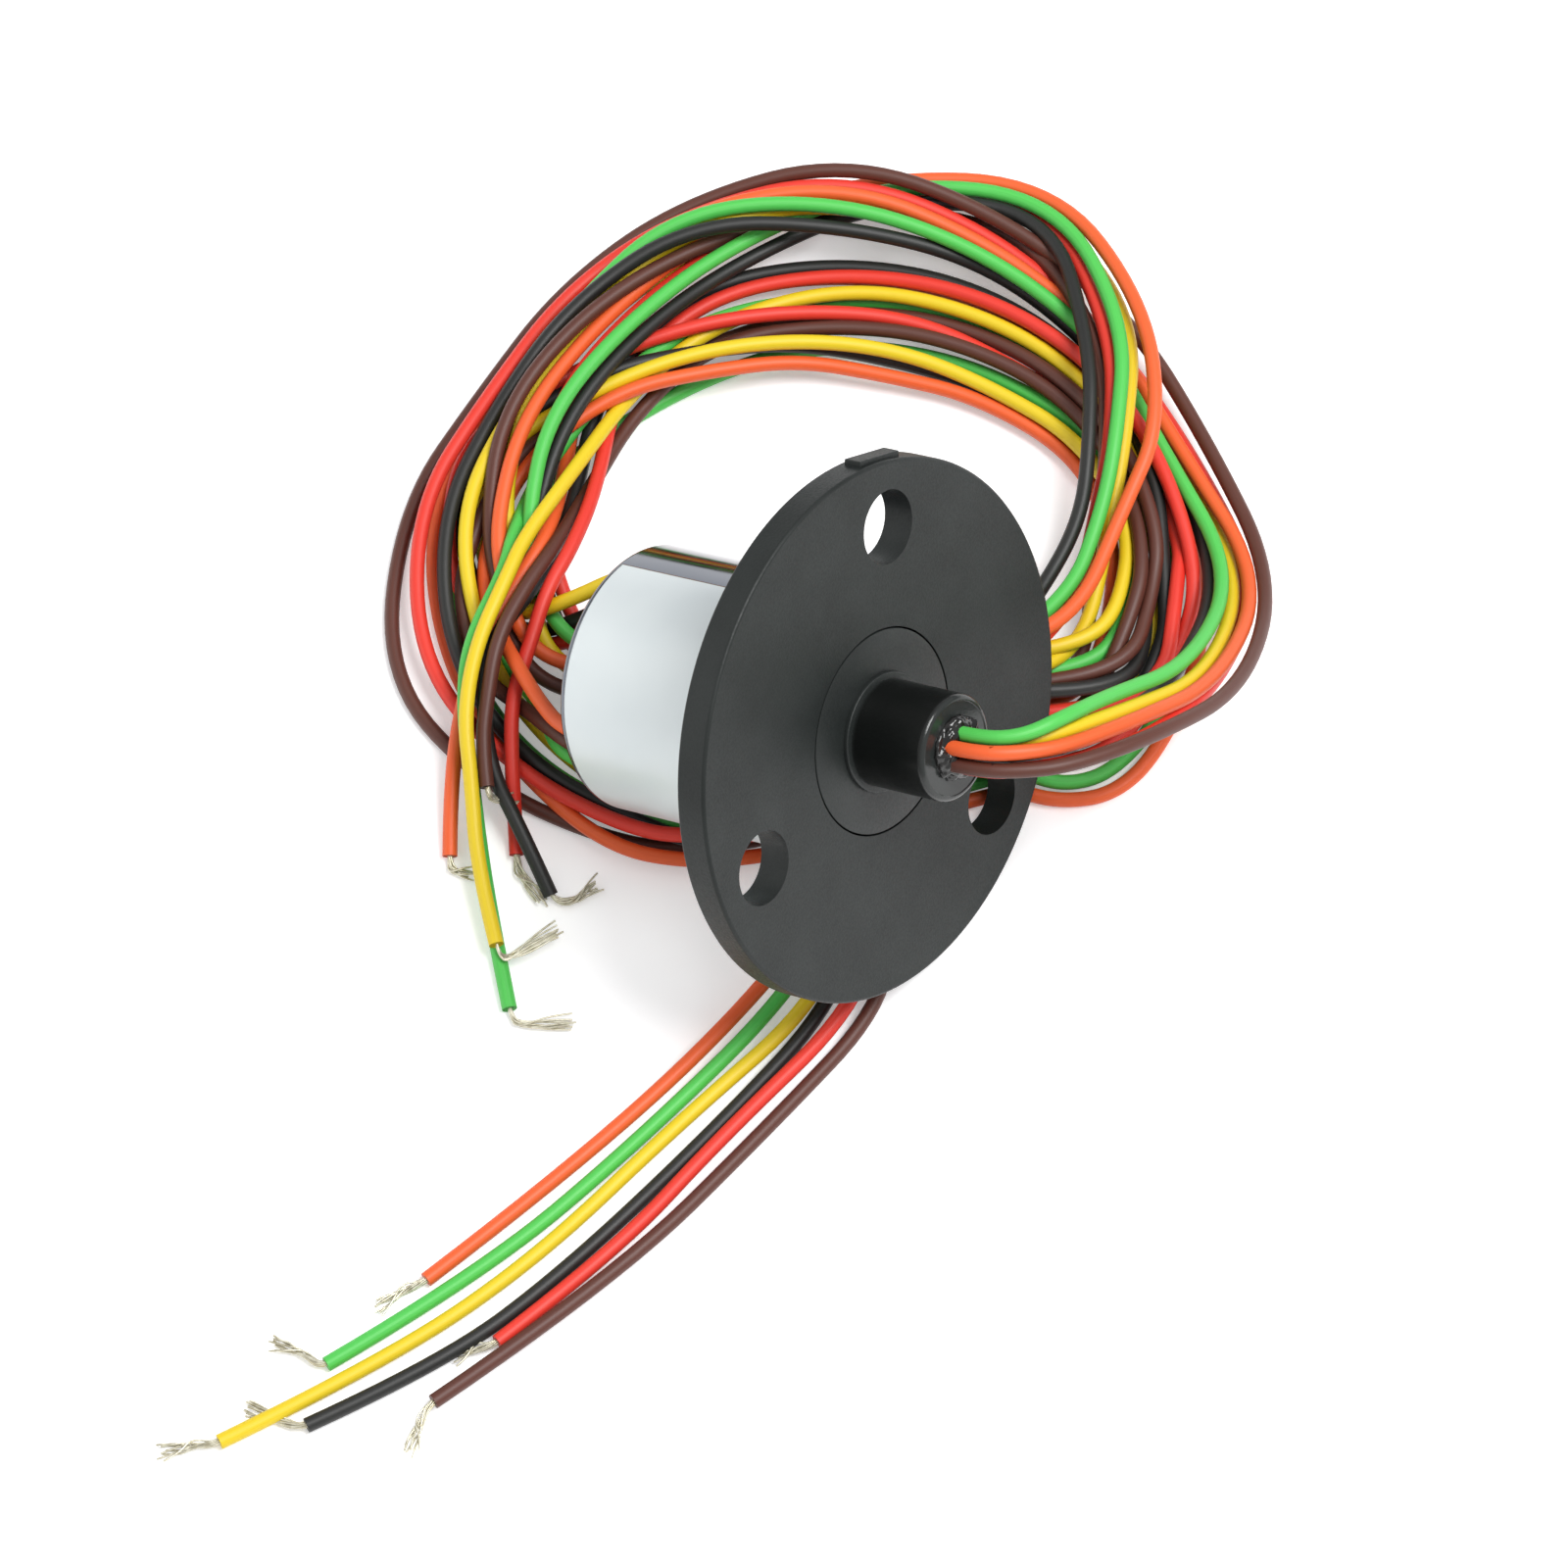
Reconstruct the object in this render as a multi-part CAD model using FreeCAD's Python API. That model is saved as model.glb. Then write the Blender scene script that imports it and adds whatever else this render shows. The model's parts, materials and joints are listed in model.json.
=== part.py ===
import FreeCAD, Part
import math
import os

from FreeCAD import Vector

# Capsule slip ring with six circuits, in millimetres.
# It is modelled about its own axis: x runs across, y up the flange, z out of the front face.
# Then it is laid down as it rests: on the rim of the flange and the rear edge of the barrel.

# Flange and its three mounting holes
FLANGE_DIAMETER = 44.5
FLANGE_THICKNESS = 2.8
FLANGE_EDGE = 0.3
HOLE_DIAMETER = 6.1
HOLE_CIRCLE = 33.6
HOLE_COUNT = 3
HOLE_TURN = 41.5
GATE_TURN = 40.0
GATE_LENGTH = 5.0
GATE_HEIGHT = 0.35
GATE_WIDTH = 1.6

# Barrel: a plastic housing inside a thin metal sleeve
BARREL_DIAMETER = 22.0
BARREL_LENGTH = 22.0
SLEEVE_WALL = 0.7
SLEEVE_GAP = 0.05
SLEEVE_EDGE = 0.6
HOUSING_WALL = 1.0
HOUSING_RECESS = 0.5

# Front of the rotor: disc flush in the flange, low collar, shaft
ROTOR_DISC_DIAMETER = 16.8
ROTOR_DISC_THICKNESS = 1.5
ROTOR_DISC_GAP = 0.15
ROTOR_FLOOR_GAP = 0.2
COLLAR_DIAMETER = 9.9
COLLAR_HEIGHT = 0.4
SHAFT_DIAMETER = 8.8
SHAFT_REACH = 7.5
SHAFT_EDGE = 0.5
SHAFT_BORE = 4.4

# Ball bearings
RACE_SEAT_GAP = 0.01
BALL_GAP = 0.05
FRONT_BEARING_BORE = 8.0
FRONT_BEARING_OUTSIDE = 14.0
FRONT_BEARING_WIDTH = 3.5
FRONT_BALL_DIAMETER = 1.8
FRONT_BALL_COUNT = 12
REAR_BEARING_BORE = 6.0
REAR_BEARING_OUTSIDE = 10.0
REAR_BEARING_WIDTH = 3.0
REAR_BALL_DIAMETER = 1.1
REAR_BALL_COUNT = 14
RACE_WALL_SHARE = 0.34
CAGE_WALL = 0.3
CAGE_WIDTH_SHARE = 0.75
BEARING_LIP = 0.8

# Stack of contact rings and the insulating barriers between them
CIRCUITS = 6
RING_WIDTH = 1.2
RING_DIAMETER = 8.4
RING_GROOVE = 0.4
BARRIER_DIAMETER = 10.0
STACK_GAP = 0.02
STACK_SHOULDER = 1.2
STEM_END = 0.5

# Brush boards and the wire brushes that run in the ring grooves
BOARD_INSET = 0.85
BOARD_THICKNESS = 0.8
BOARD_SIDE_GAP = 0.05
BOARD_END_GAP = 0.2
BRUSH_DIAMETER = 0.3
BRUSH_RUNNING_GAP = 0.06
BRUSH_FOOT = 2.6
BRUSH_TAIL = 2.2
BRUSH_BEND = 0.6

# Rear cap
CAP_GAP = 0.05
CAP_FLOOR = 1.4
CAP_END_GAP = 0.3
POTTING_GAP = 0.02
POTTING_SINK = 0.1

# Inner wires
INNER_WIRE_DIAMETER = 0.7
INNER_WIRE_CIRCLE = 2.7
TAIL_WIRE_DIAMETER = 1.0
WIRE_HOLE_GAP = 0.05
TAIL_WIRE_PITCH = 2.4

# Glue at the end of the shaft, and the leads
GLUE_DEPTH = 1.5
GLUE_DOME_DIAMETER = 5.2
GLUE_DOME_HEIGHT = 1.0
LEAD_DIAMETER = 1.25
LEAD_CIRCLE = 2.9
LEAD_TURN = 30.0
LEAD_GAP = 0.02
STRANDS_DIAMETER = 0.7
LEAD_START = 3.0
TAIL_START = 2.8

# Routes of the leads, as points in the frame in which the slip ring rests. They were read off the photograph,
# then moved apart a little where two leads ran through each other.
# Each one starts past the straight stretch at its exit. Rotor leads, in the order of their places in the shaft:
ROTOR_LEADS = {
    "green": [
        (19.7, 2.3, 27.3), (21.6, 5.6, 26.9), (22.7, 10.7, 22.7), (25.7, 20.4, 14.7), (22.7, 34.3, 4.9),
        (11.8, 42.3, 3.1), (2.6, 48.8, 3.5), (-10.1, 51.1, 4.6), (-22.8, 48.2, 6.9), (-34.1, 40.7, 6.7),
        (-38.0, 29.7, 3.5), (-39.1, 19.0, 1.5), (-37.6, 7.7, 0.65), (-30.1, -2.7, 0.65),
        (-20.6, -7.7, 0.65), (-10.4, -8.0, 0.65), (-5.1, -6.6, 2.2), (1.4, -2.2, 4.3), (8.0, 2.0, 3.5),
        (11.5, 7.1, 1.5), (15.1, 11.1, 1.2), (19.2, 11.9, 1.0), (22.1, 15.4, 0.8), (22.9, 23.3, 0.65),
        (17.7, 33.5, 0.65), (11.8, 41.4, 0.65), (1.8, 45.5, 0.65), (-9.3, 46.7, 0.9),
        (-19.8, 43.0, 1.1), (-28.2, 35.5, 1.9), (-31.7, 24.3, 3.8), (-32.7, 14.7, 2.5),
        (-30.9, 7.9, 5.7), (-29.4, 4.0, 6.8), (-28.8, -3.2, 6.3), (-26.4, -8.1, 5.0),
        (-22.7, -13.0, 2.8), (-18.7, -18.3, 1.4), (-13.8, -24.2, 1.0), (-10.6, -27.9, 0.65),
    ],
    "yellow": [
        (20.3, 3.0, 25.9), (22.4, 6.2, 24.9), (24.3, 11.4, 20.8), (27.0, 20.9, 12.9), (23.2, 35.2, 2.9),
        (12.1, 43.6, 0.8), (2.4, 49.1, 0.65), (-9.7, 52.5, 2.3), (-22.7, 49.4, 5.3), (-32.8, 40.6, 5.6),
        (-36.8, 30.4, 2.9), (-37.3, 18.2, 4.5), (-36.0, 7.4, 4.8), (-29.0, -1.3, 2.8),
        (-20.0, -6.0, 1.5), (-9.7, -6.9, 0.65), (-4.6, -4.8, 0.65), (0.7, -0.1, 1.5), (5.1, 5.4, 2.2),
        (10.0, 9.9, 1.7), (13.9, 13.9, 0.9), (17.7, 16.1, 0.8), (19.7, 20.2, 0.65), (19.6, 25.3, 0.65),
        (16.7, 33.1, 0.8), (10.7, 40.1, 2.9), (1.9, 45.9, 2.8), (-8.7, 46.5, 2.9), (-19.1, 43.5, 2.5),
        (-26.7, 35.4, 2.8), (-29.9, 25.9, 2.8), (-29.3, 14.6, 6.5), (-29.4, 7.1, 7.4),
        (-28.7, 3.2, 7.9), (-27.9, -3.3, 7.3), (-25.7, -9.1, 6.6), (-22.6, -13.3, 4.8),
        (-18.7, -19.1, 2.8), (-14.0, -24.1, 2.3),
    ],
    "black": [
        (20.7, 2.5, 25.1), (22.7, 5.1, 23.7), (24.0, 10.5, 20.0), (24.8, 20.2, 12.5), (21.7, 34.0, 3.3),
        (11.9, 42.7, 1.9), (2.4, 48.7, 2.1), (-9.9, 51.1, 3.0), (-21.2, 46.6, 6.3), (-32.3, 40.0, 7.4),
        (-37.9, 29.6, 4.8), (-38.7, 18.5, 3.8), (-37.4, 6.9, 4.3), (-30.7, -3.3, 2.6),
        (-20.7, -8.6, 2.3), (-9.6, -8.7, 2.1), (-3.9, -8.0, 1.9), (1.5, -2.2, 2.6), (5.9, 3.7, 2.7),
        (10.2, 8.6, 2.7), (14.1, 12.8, 2.1), (18.1, 14.7, 2.1), (20.4, 18.8, 2.0), (20.3, 26.9, 2.1),
        (17.7, 31.6, 2.5), (12.4, 40.0, 3.4), (3.4, 47.3, 2.1), (-9.8, 49.3, 2.0), (-22.1, 45.0, 2.0),
        (-31.5, 36.2, 1.9), (-32.4, 24.0, 2.4), (-29.0, 14.7, 2.3), (-27.0, 7.6, 5.3),
        (-26.8, 3.0, 6.3), (-27.3, -1.6, 6.3), (-25.8, -6.0, 4.9), (-22.3, -11.0, 3.6),
        (-17.3, -14.4, 2.9), (-12.8, -17.4, 0.65),
    ],
    "red": [
        (20.9, 0.9, 25.1), (23.6, 3.8, 23.9), (27.0, 10.1, 20.6), (27.9, 21.1, 12.0), (24.5, 35.6, 2.5),
        (13.2, 44.4, 1.1), (3.2, 50.0, 1.4), (-9.7, 53.7, 3.1), (-24.0, 51.3, 5.5), (-34.1, 41.9, 4.4),
        (-39.6, 32.1, 2.0), (-39.9, 19.2, 3.6), (-39.8, 6.8, 3.6), (-32.5, -5.2, 2.2),
        (-21.0, -9.8, 2.6), (-9.4, -10.0, 2.8), (-3.7, -7.9, 3.8), (2.7, -3.2, 2.8), (7.1, 3.0, 2.3),
        (10.8, 8.3, 1.0), (14.6, 12.5, 0.8), (18.9, 14.2, 0.9), (21.7, 18.8, 1.3), (21.6, 28.0, 2.7),
        (19.7, 33.6, 3.6), (12.4, 40.9, 4.3), (3.2, 46.5, 4.1), (-8.9, 48.0, 3.5), (-20.5, 44.4, 2.5),
        (-29.6, 36.4, 2.3), (-31.5, 25.8, 1.6), (-27.2, 15.2, 5.1), (-25.7, 8.7, 6.8),
        (-25.5, 4.0, 6.9), (-24.5, -0.5, 5.5), (-23.5, -5.3, 5.1), (-20.6, -10.2, 3.7),
        (-18.9, -12.8, 1.5), (-17.1, -15.6, 0.65),
    ],
    "brown": [
        (20.5, -0.1, 26.1), (23.8, 2.5, 25.8), (27.8, 9.3, 23.1), (30.3, 21.0, 13.9), (25.8, 35.7, 4.4),
        (14.3, 45.3, 2.4), (3.5, 52.2, 2.8), (-9.9, 55.1, 4.0), (-24.3, 52.7, 6.0), (-35.0, 43.0, 3.6),
        (-40.4, 32.2, 1.0), (-41.3, 20.2, 0.65), (-41.6, 7.7, 0.65), (-35.0, -6.8, 0.65),
        (-22.7, -11.5, 0.65), (-10.5, -10.7, 0.65), (-4.4, -7.9, 0.65), (1.8, -2.7, 0.65),
        (5.1, 4.3, 0.65), (8.5, 10.2, 0.8), (12.5, 14.7, 1.1), (16.0, 16.5, 1.5), (17.6, 19.9, 2.3),
        (17.0, 26.8, 3.9), (15.6, 31.9, 4.4), (10.0, 39.0, 3.1), (1.0, 43.4, 2.7), (-9.4, 42.9, 3.2),
        (-18.3, 39.5, 2.8), (-26.0, 33.7, 2.5), (-29.0, 25.0, 1.6), (-28.1, 15.0, 3.3),
        (-27.0, 7.9, 6.7), (-27.0, 3.6, 7.6), (-26.6, -2.1, 7.7), (-24.9, -6.7, 6.3),
        (-23.4, -10.2, 5.2), (-21.3, -13.0, 4.4),
    ],
    "orange": [
        (19.8, 0.7, 27.2), (22.6, 3.6, 26.0), (25.4, 9.7, 22.5), (28.3, 20.4, 14.1), (25.0, 35.1, 4.4),
        (12.8, 43.4, 2.6), (3.0, 49.8, 2.7), (-10.0, 52.3, 3.9), (-23.4, 50.2, 6.3), (-34.2, 41.2, 5.5),
        (-38.3, 30.0, 2.1), (-40.3, 18.9, 0.65), (-39.0, 7.1, 0.8), (-31.2, -3.3, 1.0),
        (-22.0, -8.6, 1.2), (-11.2, -11.9, 2.0), (-4.1, -9.8, 1.8), (2.9, -4.4, 1.4), (7.9, 1.7, 1.1),
        (11.9, 5.9, 0.8), (15.4, 9.6, 0.65), (19.3, 10.5, 0.65), (22.9, 13.3, 0.65), (24.2, 18.4, 0.65),
        (23.2, 28.0, 0.65), (20.1, 33.2, 2.2), (12.9, 41.9, 0.65), (3.1, 47.1, 0.65),
        (-9.5, 49.3, 0.65), (-21.8, 44.8, 0.65), (-31.1, 36.3, 0.65), (-34.6, 24.9, 0.65),
        (-30.8, 15.7, 2.0), (-28.3, 9.2, 6.0), (-28.2, 4.9, 6.2), (-28.3, -1.8, 5.3),
        (-27.2, -6.9, 4.0), (-24.8, -13.1, 2.2), (-21.8, -18.4, 0.65),
    ],
}
# Stator leads, in the order of their places in the cap:
STATOR_LEADS = {
    "yellow": [
        (-20.3, 7.4, 8.7), (-23.1, 4.8, 6.6), (-26.3, 2.5, 4.4), (-29.1, 3.5, 0.9), (-32.3, 5.7, 0.65),
        (-35.0, 8.7, 1.6), (-37.1, 15.3, 2.6), (-31.9, 23.5, 5.0), (-26.3, 30.7, 5.0),
        (-19.3, 36.5, 4.1), (-11.9, 40.0, 3.0), (-4.3, 41.0, 2.3), (5.0, 40.3, 2.4), (12.8, 34.8, 3.1),
        (15.7, 27.2, 3.7), (14.9, 22.9, 4.2), (9.2, 17.9, 4.5), (5.1, 15.6, 2.2), (-2.0, 12.5, 4.8),
        (-8.5, 9.9, 2.7), (-12.4, 5.7, 1.1), (-15.7, 1.8, 1.5), (-23.3, 0.2, 2.3), (-28.0, 5.4, 3.3),
        (-32.9, 9.2, 4.3), (-36.5, 18.6, 5.0), (-35.3, 30.4, 3.9), (-31.3, 43.1, 1.6),
        (-22.3, 53.9, 0.65), (-8.9, 59.2, 1.1), (4.1, 51.4, 5.5), (9.0, 40.5, 5.8), (11.2, 33.9, 3.6),
        (15.0, 22.1, 2.1), (8.9, 13.6, 7.7), (9.7, 4.5, 7.8), (9.2, -4.4, 5.8), (11.3, -14.7, 1.4),
        (6.6, -30.0, 1.3), (2.4, -46.3, 1.0), (-3.8, -59.9, 0.8), (-11.6, -71.9, 0.65),
    ],
    "black": [
        (-19.3, 6.9, 6.9), (-22.2, 4.9, 3.9), (-25.6, 2.6, 1.2), (-29.8, 2.3, 0.65), (-33.1, 4.3, 1.2),
        (-36.3, 7.9, 1.8), (-38.4, 15.8, 2.3), (-32.5, 25.1, 4.8), (-26.4, 31.5, 3.7),
        (-20.2, 36.6, 2.5), (-12.8, 39.5, 1.7), (-4.6, 41.5, 1.1), (5.7, 40.6, 0.65),
        (13.7, 34.8, 0.65), (19.0, 26.4, 2.1), (19.5, 20.9, 3.9), (10.9, 14.3, 5.7), (5.2, 11.6, 3.0),
        (-2.7, 10.7, 2.9), (-10.8, 9.6, 0.65), (-14.5, 4.8, 0.65), (-18.1, 2.8, 0.65),
        (-23.4, 3.1, 0.65), (-27.7, 6.7, 2.7), (-30.5, 10.6, 4.8), (-32.4, 19.0, 6.3),
        (-31.5, 29.3, 5.6), (-28.2, 40.9, 2.9), (-20.5, 51.9, 3.4), (-7.5, 57.9, 3.6), (2.8, 45.8, 7.5),
        (6.9, 38.1, 6.9), (9.2, 32.5, 4.9), (9.3, 25.8, 3.5), (9.0, 14.3, 6.1), (9.2, 5.0, 6.4),
        (9.4, -4.1, 4.0), (12.3, -13.9, 0.8), (9.2, -29.4, 0.65), (4.9, -45.9, 0.65),
        (0.4, -57.4, 0.65), (-6.3, -67.3, 0.65),
    ],
    "red": [
        (-18.3, 6.7, 5.1), (-21.2, 4.0, 3.0), (-24.9, 1.7, 0.9), (-28.6, 0.8, 0.65), (-32.2, 1.9, 1.3),
        (-36.5, 5.7, 2.3), (-39.9, 14.8, 2.6), (-35.3, 24.6, 2.8), (-29.1, 32.0, 4.4),
        (-21.8, 38.7, 3.5), (-12.8, 43.6, 2.4), (-3.0, 44.0, 1.8), (7.1, 42.7, 1.4), (16.4, 36.9, 2.0),
        (19.0, 31.2, 3.7), (22.7, 21.9, 3.4), (12.0, 14.0, 2.8), (5.3, 11.5, 0.65), (-2.9, 11.6, 0.65),
        (-11.7, 10.7, 0.65), (-15.4, 5.8, 0.65), (-18.7, 4.1, 0.65), (-23.0, 4.5, 1.3),
        (-27.1, 8.0, 2.3), (-30.9, 11.9, 3.7), (-34.0, 19.9, 5.8), (-33.3, 30.2, 4.9),
        (-30.2, 42.3, 2.4), (-22.1, 53.2, 1.8), (-8.3, 58.9, 2.4), (3.4, 48.5, 6.7), (8.2, 39.6, 6.5),
        (9.9, 33.9, 4.5), (12.5, 25.5, 3.1), (10.7, 13.5, 8.5), (10.9, 4.8, 8.2), (10.7, -4.6, 6.1),
        (14.4, -12.8, 1.5), (10.1, -29.8, 1.4), (7.7, -42.2, 1.0), (3.3, -53.7, 0.8),
    ],
    "orange": [
        (-20.5, -5.7, 8.2), (-24.6, -2.8, 6.6), (-27.7, -0.1, 4.1), (-31.0, 2.9, 3.0),
        (-33.2, 7.1, 2.9), (-34.1, 15.6, 3.6), (-30.3, 24.0, 5.1), (-24.6, 30.0, 4.2),
        (-19.2, 35.2, 2.6), (-12.3, 37.8, 2.0), (-4.6, 40.1, 1.5), (5.5, 39.4, 1.2), (12.5, 33.3, 0.9),
        (16.1, 23.7, 0.65), (15.2, 18.2, 0.65), (8.4, 15.0, 4.2), (3.4, 13.6, 1.6), (-5.0, 14.3, 1.9),
        (-12.0, 9.4, 1.9), (-15.3, 3.9, 2.5), (-18.8, 1.2, 3.2), (-24.7, -0.3, 3.7), (-29.5, 3.6, 4.9),
        (-32.8, 8.2, 5.6), (-35.6, 17.4, 6.2), (-35.0, 28.8, 5.2), (-31.7, 42.1, 3.2),
        (-22.6, 53.4, 3.0), (-8.7, 60.5, 3.2), (4.7, 51.9, 7.3), (11.3, 42.2, 7.4), (12.0, 34.8, 5.8),
        (13.6, 23.1, 5.6), (7.3, 14.4, 9.1), (8.5, 5.0, 8.6), (8.1, -4.1, 6.3), (7.1, -14.7, 1.6),
        (2.2, -34.8, 1.2), (-4.4, -51.8, 0.65),
    ],
    "brown": [
        (-19.0, -6.8, 6.7), (-22.4, -5.0, 3.8), (-26.9, -3.9, 2.6), (-30.6, -0.9, 2.2),
        (-34.1, 4.3, 2.9), (-35.4, 14.9, 3.8), (-31.9, 24.8, 0.9), (-28.0, 32.5, 0.65),
        (-21.8, 39.7, 1.0), (-13.2, 44.5, 1.4), (-3.3, 45.6, 2.1), (7.6, 41.9, 4.1), (15.2, 35.1, 4.4),
        (17.3, 30.1, 3.1), (19.3, 22.6, 4.2), (10.4, 15.2, 4.4), (6.3, 10.3, 1.7), (-1.7, 10.0, 1.2),
        (-8.7, 8.3, 0.65), (-12.6, 3.1, 1.2), (-16.5, -0.2, 2.3), (-24.2, -1.9, 2.3), (-29.4, 3.2, 3.5),
        (-33.5, 7.7, 4.4), (-37.5, 17.3, 6.2), (-35.9, 29.6, 6.4), (-30.4, 41.8, 4.4),
        (-21.4, 51.9, 1.7), (-8.3, 55.8, 2.0), (3.0, 47.7, 5.8), (8.3, 38.8, 4.9), (10.7, 32.4, 2.2),
        (15.7, 21.2, 0.65), (11.8, 13.5, 5.2), (11.9, 4.4, 5.5), (11.2, -5.3, 3.5), (15.9, -11.6, 0.65),
        (13.0, -26.3, 0.8), (8.8, -44.5, 1.1), (1.6, -60.8, 1.3),
    ],
    "green": [
        (-18.1, -7.3, 4.9), (-21.0, -4.1, 3.0), (-24.6, -2.1, 1.7), (-27.8, -0.3, 2.1),
        (-31.0, 4.7, 2.2), (-32.8, 15.7, 0.65), (-29.3, 24.3, 0.65), (-25.3, 31.2, 0.8),
        (-20.0, 37.5, 0.65), (-12.2, 41.4, 0.9), (-3.4, 42.9, 1.2), (6.6, 41.4, 1.6), (13.4, 35.1, 2.2),
        (16.6, 26.8, 2.3), (15.9, 21.9, 2.4), (8.9, 16.4, 2.9), (4.5, 12.7, 0.65), (-3.5, 12.4, 2.8),
        (-12.0, 10.9, 3.3), (-15.4, 5.2, 3.5), (-18.5, 3.0, 3.4), (-23.1, 2.4, 3.6), (-27.5, 5.4, 4.3),
        (-30.7, 9.8, 5.9), (-33.5, 18.2, 7.2), (-32.5, 28.8, 6.7), (-29.1, 41.3, 4.6),
        (-21.1, 53.3, 3.6), (-7.7, 59.1, 3.8), (4.3, 49.2, 7.8), (8.8, 39.2, 7.6), (10.6, 33.4, 5.6),
        (12.0, 25.3, 5.0), (7.7, 13.5, 7.4), (8.2, 4.8, 7.4), (8.2, -4.1, 4.7), (9.0, -14.6, 1.3),
        (4.4, -33.3, 1.0), (-0.8, -49.3, 0.8), (-7.6, -62.0, 0.65),
    ],
}
# Bare strands at the ends of the leads
ROTOR_STRANDS = {
    "green": [
        (-9.3, -28.7, 0.5), (-5.4, -26.5, 0.4),
    ],
    "yellow": [
        (-12.9, -24.8, 1.8), (-10.4, -20.2, 1.4),
    ],
    "black": [
        (-11.0, -16.9, 0.5), (-9.9, -14.5, 0.4),
    ],
    "red": [
        (-15.9, -16.9, 0.5), (-13.2, -18.2, 0.4),
    ],
    "brown": [
        (-20.5, -13.3, 3.5), (-19.0, -12.2, 2.6),
    ],
    "orange": [
        (-20.9, -19.4, 0.5), (-19.3, -18.8, 0.4),
    ],
}
# and of the stator leads
STATOR_STRANDS = {
    "yellow": [
        (-13.3, -73.2, 0.5), (-15.3, -74.8, 0.4),
    ],
    "black": [
        (-8.4, -67.9, 0.5), (-11.1, -68.1, 0.4),
    ],
    "red": [
        (2.1, -55.0, 0.6), (0.7, -56.4, 0.5),
    ],
    "orange": [
        (-5.5, -53.4, 0.5), (-6.8, -55.8, 0.4),
    ],
    "brown": [
        (1.6, -62.7, 1.0), (1.9, -65.3, 0.8),
    ],
    "green": [
        (-9.8, -62.1, 0.5), (-12.4, -62.3, 0.4),
    ],
}
# End of the routes

# Where things lie along the axis, counted from the front face of the flange.
# The contact rings share the space between the front bearing and the rear cap.
BARREL_REAR = -(FLANGE_THICKNESS + BARREL_LENGTH)
HOUSING_REAR = BARREL_REAR + HOUSING_RECESS
DISC_POCKET = -(ROTOR_DISC_THICKNESS + ROTOR_FLOOR_GAP)
FRONT_RACE_FRONT = DISC_POCKET - 0.5 * ROTOR_FLOOR_GAP
FRONT_RACE_REAR = FRONT_RACE_FRONT - FRONT_BEARING_WIDTH
STACK_FRONT = FRONT_RACE_REAR - STACK_SHOULDER
CAP_FLOOR_FRONT = HOUSING_REAR + CAP_FLOOR
STEM_REAR = CAP_FLOOR_FRONT + CAP_END_GAP
REAR_RACE_REAR = STEM_REAR + STEM_END
STACK_REAR = REAR_RACE_REAR + REAR_BEARING_WIDTH
RING_PITCH = (STACK_FRONT - STACK_REAR) / CIRCUITS
BARRIER_WIDTH = RING_PITCH - RING_WIDTH
CAP_FRONT = STACK_REAR - CAP_END_GAP
CAVITY_FRONT = FRONT_RACE_REAR - BEARING_LIP

# Radii that follow from the sizes above
SLEEVE_INNER = BARREL_DIAMETER / 2 - SLEEVE_WALL
HOUSING_OUTER = SLEEVE_INNER - SLEEVE_GAP
HOUSING_INNER = HOUSING_OUTER - HOUSING_WALL
BOARD_BACK = HOUSING_INNER - BOARD_INSET
BOARD_OFFSET = BOARD_BACK - BOARD_THICKNESS
BOARD_HALF_WIDTH = math.sqrt((HOUSING_INNER - BOARD_SIDE_GAP) ** 2 - BOARD_BACK ** 2)
STEM_RADIUS = REAR_BEARING_BORE / 2 - RACE_SEAT_GAP
JOURNAL_RADIUS = FRONT_BEARING_BORE / 2 - RACE_SEAT_GAP

# How it rests: the slope of the axis follows from the flange, the barrel and its rounded rear edge
REST_RISE = (FLANGE_DIAMETER - BARREL_DIAMETER) / 2 + SLEEVE_EDGE
REST_REACH = BARREL_LENGTH - SLEEVE_EDGE
REST_TILT = math.acos(SLEEVE_EDGE / math.hypot(REST_RISE, REST_REACH)) - math.atan2(REST_REACH, REST_RISE)
FRONT_HEIGHT = FLANGE_DIAMETER / 2 * math.cos(REST_TILT) + FLANGE_THICKNESS * math.sin(REST_TILT)
FRONT_MOST = FLANGE_DIAMETER / 2 * math.sin(REST_TILT)
REAR_MOST = (
    BARREL_REAR * math.cos(REST_TILT)
    - BARREL_DIAMETER / 2 * math.sin(REST_TILT)
    + SLEEVE_EDGE * (math.cos(REST_TILT) + math.sin(REST_TILT) - 1)
)
FRONT_CENTRE = Vector(-(FRONT_MOST + REAR_MOST) / 2, 0, FRONT_HEIGHT)
AXIS = Vector(math.cos(REST_TILT), 0, math.sin(REST_TILT))
UP_THE_FLANGE = Vector(-math.sin(REST_TILT), 0, math.cos(REST_TILT))
ACROSS = Vector(0, 1, 0)


def at_rest(x, y, z):
    """A place given about the slip ring's own axis, as it lies at rest."""
    return FRONT_CENTRE + ACROSS * x + UP_THE_FLANGE * y + AXIS * z


def laid_down(shape):
    """The shape, moved from the slip ring's own axis to where it rests."""
    place = FreeCAD.Placement(FRONT_CENTRE, FreeCAD.Rotation(ACROSS, UP_THE_FLANGE, AXIS, "ZXY"))
    moved = shape.copy()
    moved.Placement = place.multiply(moved.Placement)
    return moved


def turned(profile):
    """A solid turned about the z axis from a list of (radius, z) corners."""
    corners = [Vector(radius, 0, z) for radius, z in profile]
    face = Part.Face(Part.makePolygon(corners + corners[:1]))
    return face.revolve(Vector(0, 0, 0), Vector(0, 0, 1), 360)


def ring(inner, outer, rear, front):
    return turned([(inner, rear), (outer, rear), (outer, front), (inner, front)])


def rod(radius, x, y, rear, front):
    return Part.makeCylinder(radius, front - rear, Vector(x, y, rear))


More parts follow.
